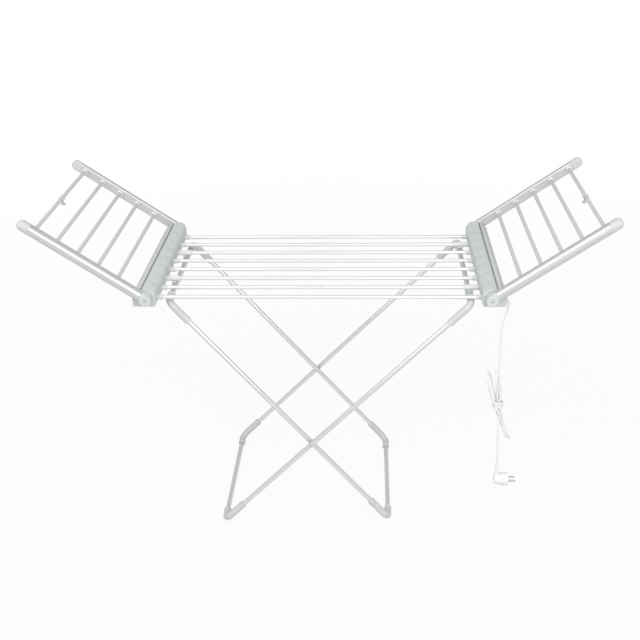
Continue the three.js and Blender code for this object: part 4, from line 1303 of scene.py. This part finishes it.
def collarOutline(values):
    # a boss that tapers from its foot in the rail to a rounded mouth round the bar
    radius, reach, flat, bore = (values[k] for k in ("collarRadius", "collarReach", "flatSide", "collarBore"))
    root = flat - values["collarRoot"]
    line = [
        (bore, root, 0.0002),
        (radius + values["collarFoot"], root, 0.0002),
        (radius, flat + values["collarFootRise"], 0.0008),
        (radius - values["collarTaper"], reach - values["collarNose"], 0.0028),
        (values["collarMouth"], reach, 0.0004),
        (bore, reach, 0.0003),
    ]
    return rounded(line)


def discOutline(values):
    # the round end of a rail, with a shallow recess for the screw in its outer face
    radius, back, front, recess = (values[k] for k in ("discRadius", "discBack", "discFront", "recessRadius"))
    floor = front - values["recessDepth"]
    line = [
        (pinpoint, -back, 0),
        (radius, -back, 0.0024),
        (radius, front, 0.0014),
        (recess + values["recessSlope"], front, 0.0003),
        (recess, floor, 0.0003),
        (pinpoint, floor, 0),
    ]
    return rounded(line, closed=False)


def addRail(name, where, sign, base, along, up, barRuns, values):
    # a rail with its round tip, its hinge end and a collar for each bar but the one at the hinge
    body, frameOf = name + "_wing", (along, up, sign)
    radius, flat, start, edge = (values[k] for k in ("railRadius", "flatSide", "tubeStart", "edge"))
    end = values["reach"] - values["tipLength"]
    gap = values["ringGap"]
    middle = np.linspace(start + gap, end - gap, 12)
    run = np.concatenate([[start, start + edge], middle, [end - edge, end]])
    less = edge * np.array([1, *([0] * (len(run) - 2)), 1])
    tube = railBody(base, *frameOf, run, radius - less, radius - less, flat - less)
    node = name + "_wing_rail_" + where.lower()
    makePiece(name + "Rail" + where, [tube], railMetal, body, "wing_rail", node)
    turn = np.linspace(0, values["roundTurn"], 24)
    straight, dome = values["tipLength"], values["roundRadius"]
    run = np.concatenate([[0, edge], np.linspace(gap, straight, 6)[:-1], straight + dome * np.sin(turn)])
    fall = np.cos(np.concatenate([np.zeros(len(run) - len(turn)), turn]))
    proud = values["tipProud"] - edge * (run == 0)
    height = (radius + proud) * fall
    outerPower, innerPower = values["roundPowers"]
    outer, inner = (radius + proud) * fall**outerPower, (flat + proud) * fall**innerPower
    tip = railBody(base + along * end, *frameOf, run, height, outer, inner)
    line = collarOutline(values)
    collars = [spun(line, base + along * run, (0, -sign, 0), 36, looped=True) for run in barRuns[:-1]]
    makePiece(name + "RailTip" + where, [tip], elbowPlastic, body, "fitting_plastic")
    makePiece(name + "RailCollars" + where, collars, fittingPlastic, body, "fitting_plastic")
    edge, inset = values["neckEdge"], values["neckInset"]
    neckEnd = [start - edge, start - edge / 2, start, start + values["neckSpigot"]]
    run, less = np.array([0, values["neckRing"], *neckEnd]), np.array([0, 0, 0, edge, inset, inset])
    neck = railBody(base, *frameOf, run, radius - less, radius - values["neckSlim"] - less, flat - less)
    knuckle = spun(discOutline(values), base, (0, sign, 0), 72)
    front = values["discFront"]
    pin = rod(values["pinRadius"], front + values["pinLength"], base, (0, -sign, 0), 32)
    node = name + "_wing_hinge_" + where.lower()
    makePiece(name + "Knuckle" + where, [knuckle, neck, pin], housingPlastic, body, "fitting_plastic", node)
    screw = screwHead(base + np.array([0, sign * (front - values["screwSunk"]), 0]), (0, sign, 0))
    makePiece(name + "PivotScrew" + where, [screw], rivetMetal, body, "leg_tube")


def addWing(name, side, values):
    # two rails that rise from the pivot at the wing's tilt, the bars between them and a hook on the outermost
    pivot = np.array([side * layout["pivotX"], 0, layout["pivotZ"]])
    along = np.array([side * math.cos(layout["wingTilt"]), 0, math.sin(layout["wingTilt"])])
    up = np.array([-along[2] * side, 0, along[0] * side])
    barRuns = values["barFirst"] + np.arange(values["barCount"])[::-1] * values["barPitch"]
    for where, sign in ends:
        base = pivot + np.array([0, sign * layout["railY"], 0])
        addRail(name, where, sign, base, along, up, barRuns, values)
    end = values["barEnd"]
    for index, run in enumerate(barRuns, 1):
        bar = rod(values["barRadius"], 2 * end, pivot + along * run - np.array([0, end, 0]), (0, 1, 0), 36)
        node = "%s_wing_bar_%d" % (name, index)
        makePiece("%sWingBar%d" % (name, index), [bar], wingBarMetal, name + "_wing", "wing_bar", node)
    addHook(name, side, pivot + along * barRuns[0], hookValues)


for name, side in sides:
    addWing(name, side, wingValues)
print("wings made")

# Leg frames

legValues = {
    "radius": 0.0065,
    "elbowRadius": 0.0095,
    "collarRadius": 0.0101,
    "collarLength": 0.007,
    "bevel": 0.0014,
    "mouth": [(0, 0.0072), (0.0003, 0.0088), (0.0008, 0.0096)],  # distance into a collar and radius there
    "collarFade": 0.006,
    "bend": 0.020,
    "legArm": 0.074,
    "barArm": 0.048,
    "tubeInset": 0.024,  # a tube ends this far from its corner
    "rivetRadius": 0.003,
    "headRadius": 0.005,
    "headHeight": 0.0016,
    "headSunk": 0.0003,
    "headShoulder": 0.45,  # share of its height at the rim
    "headCrown": 0.5,  # share of its radius at full height
    "spacerRadius": 0.006,
    "spacerLap": 0.002,
    "spacerEdge": 0.0004,
    "frames": {
        "inner": {"top": -0.384, "foot": 0.182, "half": 0.209},
        "outer": {"top": 0.384, "foot": -0.272, "half": 0.225},
    },
}


def elbowArm(length, values):
    # distance from the corner and radius there, from the mouth inwards
    plain, wide, bevel = values["elbowRadius"], values["collarRadius"], values["bevel"]
    collar = length - values["collarLength"]
    mouth = [(length - distance, radius) for distance, radius in values["mouth"]]
    rest = [
        (length - bevel, wide),
        (collar, wide),
        (collar - bevel / 2, (wide + plain) / 2),
        (collar - bevel, plain),
        (collar - values["collarFade"], plain),
    ]
    return np.array(mouth + rest).T


def elbow(corner, alongLeg, alongBar, values):
    # a round section along two arms and the quarter circle between them, with a collar at the mouth of each
    bend = values["bend"]
    turn = np.linspace(0, np.pi / 2, 21)[:, None]
    centre = corner + bend * (alongLeg + alongBar)
    curve = centre - bend * (alongBar * np.cos(turn) + alongLeg * np.sin(turn))
    legRun, legRadius = elbowArm(values["legArm"], values)
    barRun, barRadius = elbowArm(values["barArm"], values)
    legLine, barLine = corner + legRun[:, None] * alongLeg, corner + barRun[::-1, None] * alongBar
    path = np.concatenate([legLine, curve, barLine])
    radii = np.concatenate([legRadius, np.full(len(curve), values["elbowRadius"]), barRadius[::-1]])
    shape = swept(path, radii, 40)
    shape["points"][:, 2] = np.maximum(shape["points"][:, 2], 0)  # a flat where a foot stands
    return shape


def addLegFrame(name, values):
    # two side tubes from top to foot, an elbow at each corner, and a cross bar at each end
    places, body, inset = values["frames"][name], name + "_legs", values["tubeInset"]
    top = np.array([places["top"], 0, layout["legTopZ"]])
    foot = np.array([places["foot"], 0, layout["footZ"]])
    along, length = unit(foot - top), np.linalg.norm(foot - top)
    for where, sign in ends:
        shift, inward = np.array([0, sign * places["half"], 0]), np.array([0, -sign, 0.0])
        tube = rod(values["radius"], length - 2 * inset, top + shift + along * inset, along)
        node = name + "_leg_" + where.lower()
        makePiece(name + "LegTube" + where, [tube], legMetal, body, "leg_tube", node)
        corners = (("Top", "_elbow_", top, along), ("Foot", "_foot_", foot, -along))
        for label, kind, corner, heading in corners:
            shape = elbow(corner + shift, heading, inward, values)
            node = name + kind + where.lower()
            makePiece(name + label + "Elbow" + where, [shape], elbowPlastic, body, "elbow_plastic", node)
    reach = places["half"] - inset
    for label, place in (("Top", top), ("Bottom", foot)):
        bar = rod(values["radius"], 2 * reach, place - np.array([0, reach, 0]), (0, 1, 0))
        node = "%s_%s_bar" % (name, label.lower())
        makePiece(name + label + "Bar", [bar], legMetal, body, "leg_tube", node)


def addRivets(values):
    # a rivet at each side runs through the two tubes that cross: two domed heads, a shank and a spacer
    inner, outer, tube = values["frames"]["inner"], values["frames"]["outer"], values["radius"]
    span = outer["top"] - inner["top"]
    share = span / (span + inner["foot"] - outer["foot"])
    x = inner["top"] + share * (inner["foot"] - inner["top"])
    z = layout["legTopZ"] + share * (layout["footZ"] - layout["legTopZ"])
    outside, inside = outer["half"] + tube, inner["half"] - tube
    gapStart, gapEnd = inner["half"] + tube, outer["half"] - tube
    head, radius, sunk = values["headHeight"], values["headRadius"], values["headSunk"]
    dome = [
        (pinpoint, 0, 0),
        (radius, 0, 0.0002),
        (radius, head * values["headShoulder"], 0.0006),
        (radius * values["headCrown"], head, 0.003),
        (pinpoint, head, 0),
    ]
    dome = rounded(dome, closed=False)
    spacer, spacerEdge = gapEnd - gapStart + values["spacerLap"], values["spacerEdge"]
    shapes = []
    for sign in (-1, 1):
        away, start = (0, sign, 0), (x, sign * (gapStart + layout["fit"]), z)
        shapes += [
            spun(dome, (x, sign * (outside - sunk), z), away, 36),
            spun(dome, (x, sign * (inside + sunk), z), (0, -sign, 0), 36),
            rod(values["rivetRadius"], outside - inside, (x, sign * inside, z), away, 24),
            rod(values["spacerRadius"], spacer, start, away, 36, spacerEdge),
        ]
    makePiece("crossingRivets", shapes, rivetMetal, "outer_legs", "leg_tube")


for name in ("inner", "outer"):
    addLegFrame(name, legValues)
addRivets(legValues)
print("leg frames made")

# Inside the housings

heatValues = {
    "radius": 0.0025,
    "startX": 0.4522,
    "end": 0.4208,
    "returnX": 0.4585,
    "turn": 0.015,
    "blockEnd": -0.1877,
}


def heatRoute(values):
    # to and fro through the bars, half a circle between neighbours, and back along the housing to the block
    half = barValues["pitch"] / 2
    turn = np.linspace(0, np.pi, 25)
    parts = [np.array([[values["startX"], barPlaces[0]]])]
    for index, y in enumerate(barPlaces[:-1]):
        side = 1 if index % 2 else -1
        x = side * (values["end"] + half * np.sin(turn))
        parts.append(np.stack([x, y + half - half * np.cos(turn)], axis=1))
    quarter = np.linspace(np.pi / 2, 0, 13)
    corner = np.array([values["returnX"] - values["turn"], barPlaces[-1] - values["turn"]])
    parts.append(corner + values["turn"] * np.stack([np.cos(quarter), np.sin(quarter)], axis=1))
    parts.append(np.array([[values["returnX"], values["blockEnd"]]]))
    flat = np.concatenate(parts)
    return np.column_stack([flat, np.full(len(flat), layout["barZ"])])


heatShape = swept(heatRoute(heatValues), heatValues["radius"], 14)
makePiece("heatingCable", [heatShape], silicone, "panel", "cable_insulation", "heating_cable")
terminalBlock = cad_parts["terminal_block"].data
terminalBlock.materials.clear()
terminalBlock.materials.append(blockPlastic)
print("inner parts made")

# Floor, light and background

stageValues = {
    "floor": 0.72,
    "floorRough": 0.9,
    "floorHalf": 30,
    "floorDrop": 0.0002,
    "nearWhite": 0.92,
    "whiteFrom": (0.4, 4.0),  # distance from the middle over which the floor turns white
    "frontWhite": 0.25,
    "frontFrom": (-1.8, -0.9),
    "ambient": (0.42, 0.54),
    "skyFrom": (-0.1, 1.0),  # shares of a ray's direction, as the next three
    "sideFrom": (-0.2, 0.3),
    "backdropFrom": (0.1, 0.45),
    "roomFrom": (0.4, 0.85),
    "room": (0.72, 0.56),  # at the sides and overhead
    "lampTarget": (0, 0, 0.6),
    "lamps": {
        "keyFromLeft": {"place": (-2.0, -2.0, 3.4), "power": 72.0, "size": 3.4},
        "fillFromRight": {"place": (1.5, -3.0, 2.6), "power": 74.0, "size": 2.6},
    },
}


def addRange(tree, value, low, high, first, last):
    # from the first number at the low value to the last one at the high value, without a corner
    sockets = {"Value": value, "From Min": low, "From Max": high, "To Min": first, "To Max": last}
    return addNode(tree, "ShaderNodeMapRange", sockets, interpolation_type="SMOOTHSTEP").outputs[0]


def blended(tree, first, second, share):
    # the first number where the share is 0, the second where it is 1
    return addMath(tree, "ADD", first, times(tree, share, lessFrom(tree, second, first)))


def addFloor(values):
    # pale and shaded near the object, so it keeps the shadow, and plain white further out. In a gloss its
    # front is dimmer, as a studio floor in front of the object is.
    mesh = bpy.data.meshes.new("floor")
    corners = [(x, y, -values["floorDrop"]) for x, y in ((-1, -1), (1, -1), (1, 1), (-1, 1))]
    corners = np.array(corners) * [values["floorHalf"], values["floorHalf"], 1]
    mesh.from_pydata(corners, [], [(0, 1, 2, 3)])
    floor = bpy.data.objects.new("floor", mesh)
    bpy.context.scene.collection.objects.link(floor)
    material, tree, shader, coordinates = newMaterial("paleFloor")
    material.cycles.emission_sampling = "NONE"  # its white is only looked at, and lights nothing
    path = addNode(tree, "ShaderNodeLightPath").outputs
    seen = addMath(tree, "ADD", path["Is Camera Ray"], path["Is Glossy Ray"])
    seen = addMath(tree, "ADD", seen, path["Is Transmission Ray"], True)
    spot = coordinates["Object"]
    place = addNode(tree, "ShaderNodeSeparateXYZ", {"Vector": spot}).outputs["Y"]
    far = addNode(tree, "ShaderNodeVectorMath", {0: spot}, operation="LENGTH").outputs["Value"]
    back = addRange(tree, far, *values["whiteFrom"], values["nearWhite"], 1.0)
    front = addRange(tree, place, *values["frontFrom"], values["frontWhite"], 0.0)
    white = times(tree, lessFrom(tree, back, times(tree, front, path["Is Glossy Ray"])), seen)
    plain = times(tree, lessFrom(tree, 1.0, white), values["floor"])
    tree.links.new(plain, shader.inputs["Base Color"])
    tree.links.new(white, shader.inputs["Emission Strength"])
    shader.inputs["Emission Color"].default_value = (1, 1, 1, 1)
    shader.inputs["Roughness"].default_value = values["floorRough"]
    shader.inputs["Specular IOR Level"].default_value = 0
    mesh.materials.append(material)


def addWorld(values):
    # white to the camera, and a plain soft light on the object that is a little stronger from above. In a
    # gloss: a white backdrop low behind the object, a dimmer room, and the dimmest part overhead.
    world = bpy.data.worlds.new("studio")
    world.use_nodes = True
    world.cycles.sampling_method = "NONE"  # even and wide, so rays that leave a surface find it by themselves
    bpy.context.scene.world = world
    tree = world.node_tree
    tree.nodes.clear()
    path = addNode(tree, "ShaderNodeLightPath").outputs
    coordinates = addNode(tree, "ShaderNodeTexCoord").outputs
    way = addNode(tree, "ShaderNodeSeparateXYZ", {"Vector": coordinates["Generated"]}).outputs
    soft = addRange(tree, way["Z"], *values["skyFrom"], *values["ambient"])
    behind = addRange(tree, way["Y"], *values["sideFrom"], 0, 1)
    low = addRange(tree, way["Z"], *values["backdropFrom"], 1, 0)
    room = addRange(tree, way["Z"], *values["roomFrom"], *values["room"])
    shown = blended(tree, room, 1.0, times(tree, behind, low))
    seen = addMath(tree, "ADD", path["Is Camera Ray"], path["Is Transmission Ray"], True)
    gloss = times(tree, path["Is Glossy Ray"], lessFrom(tree, 1.0, seen))
    strength = blended(tree, soft, shown, gloss)
    strength = addMath(tree, "ADD", strength, times(tree, seen, lessFrom(tree, 1.0, soft)))
    back = addNode(tree, "ShaderNodeBackground", {"Color": (1, 1, 1, 1), "Strength": strength})
    addNode(tree, "ShaderNodeOutputWorld", {"Surface": back.outputs[0]})


def addLamp(name, place, target, power, size):
    # a square lamp that faces its target
    data = bpy.data.lights.new(name, "AREA")
    data.energy, data.size = power, size
    back = unit(np.array(place) - np.array(target))
    _, side, other = crossAxes(back)
    placed(data, side, other, back, place)


addFloor(stageValues)
addWorld(stageValues)
for name, lamp in stageValues["lamps"].items():
    addLamp(name, lamp["place"], stageValues["lampTarget"], lamp["power"], lamp["size"])
bpy.context.scene.view_settings.view_transform = "Standard"
print("stage lit")
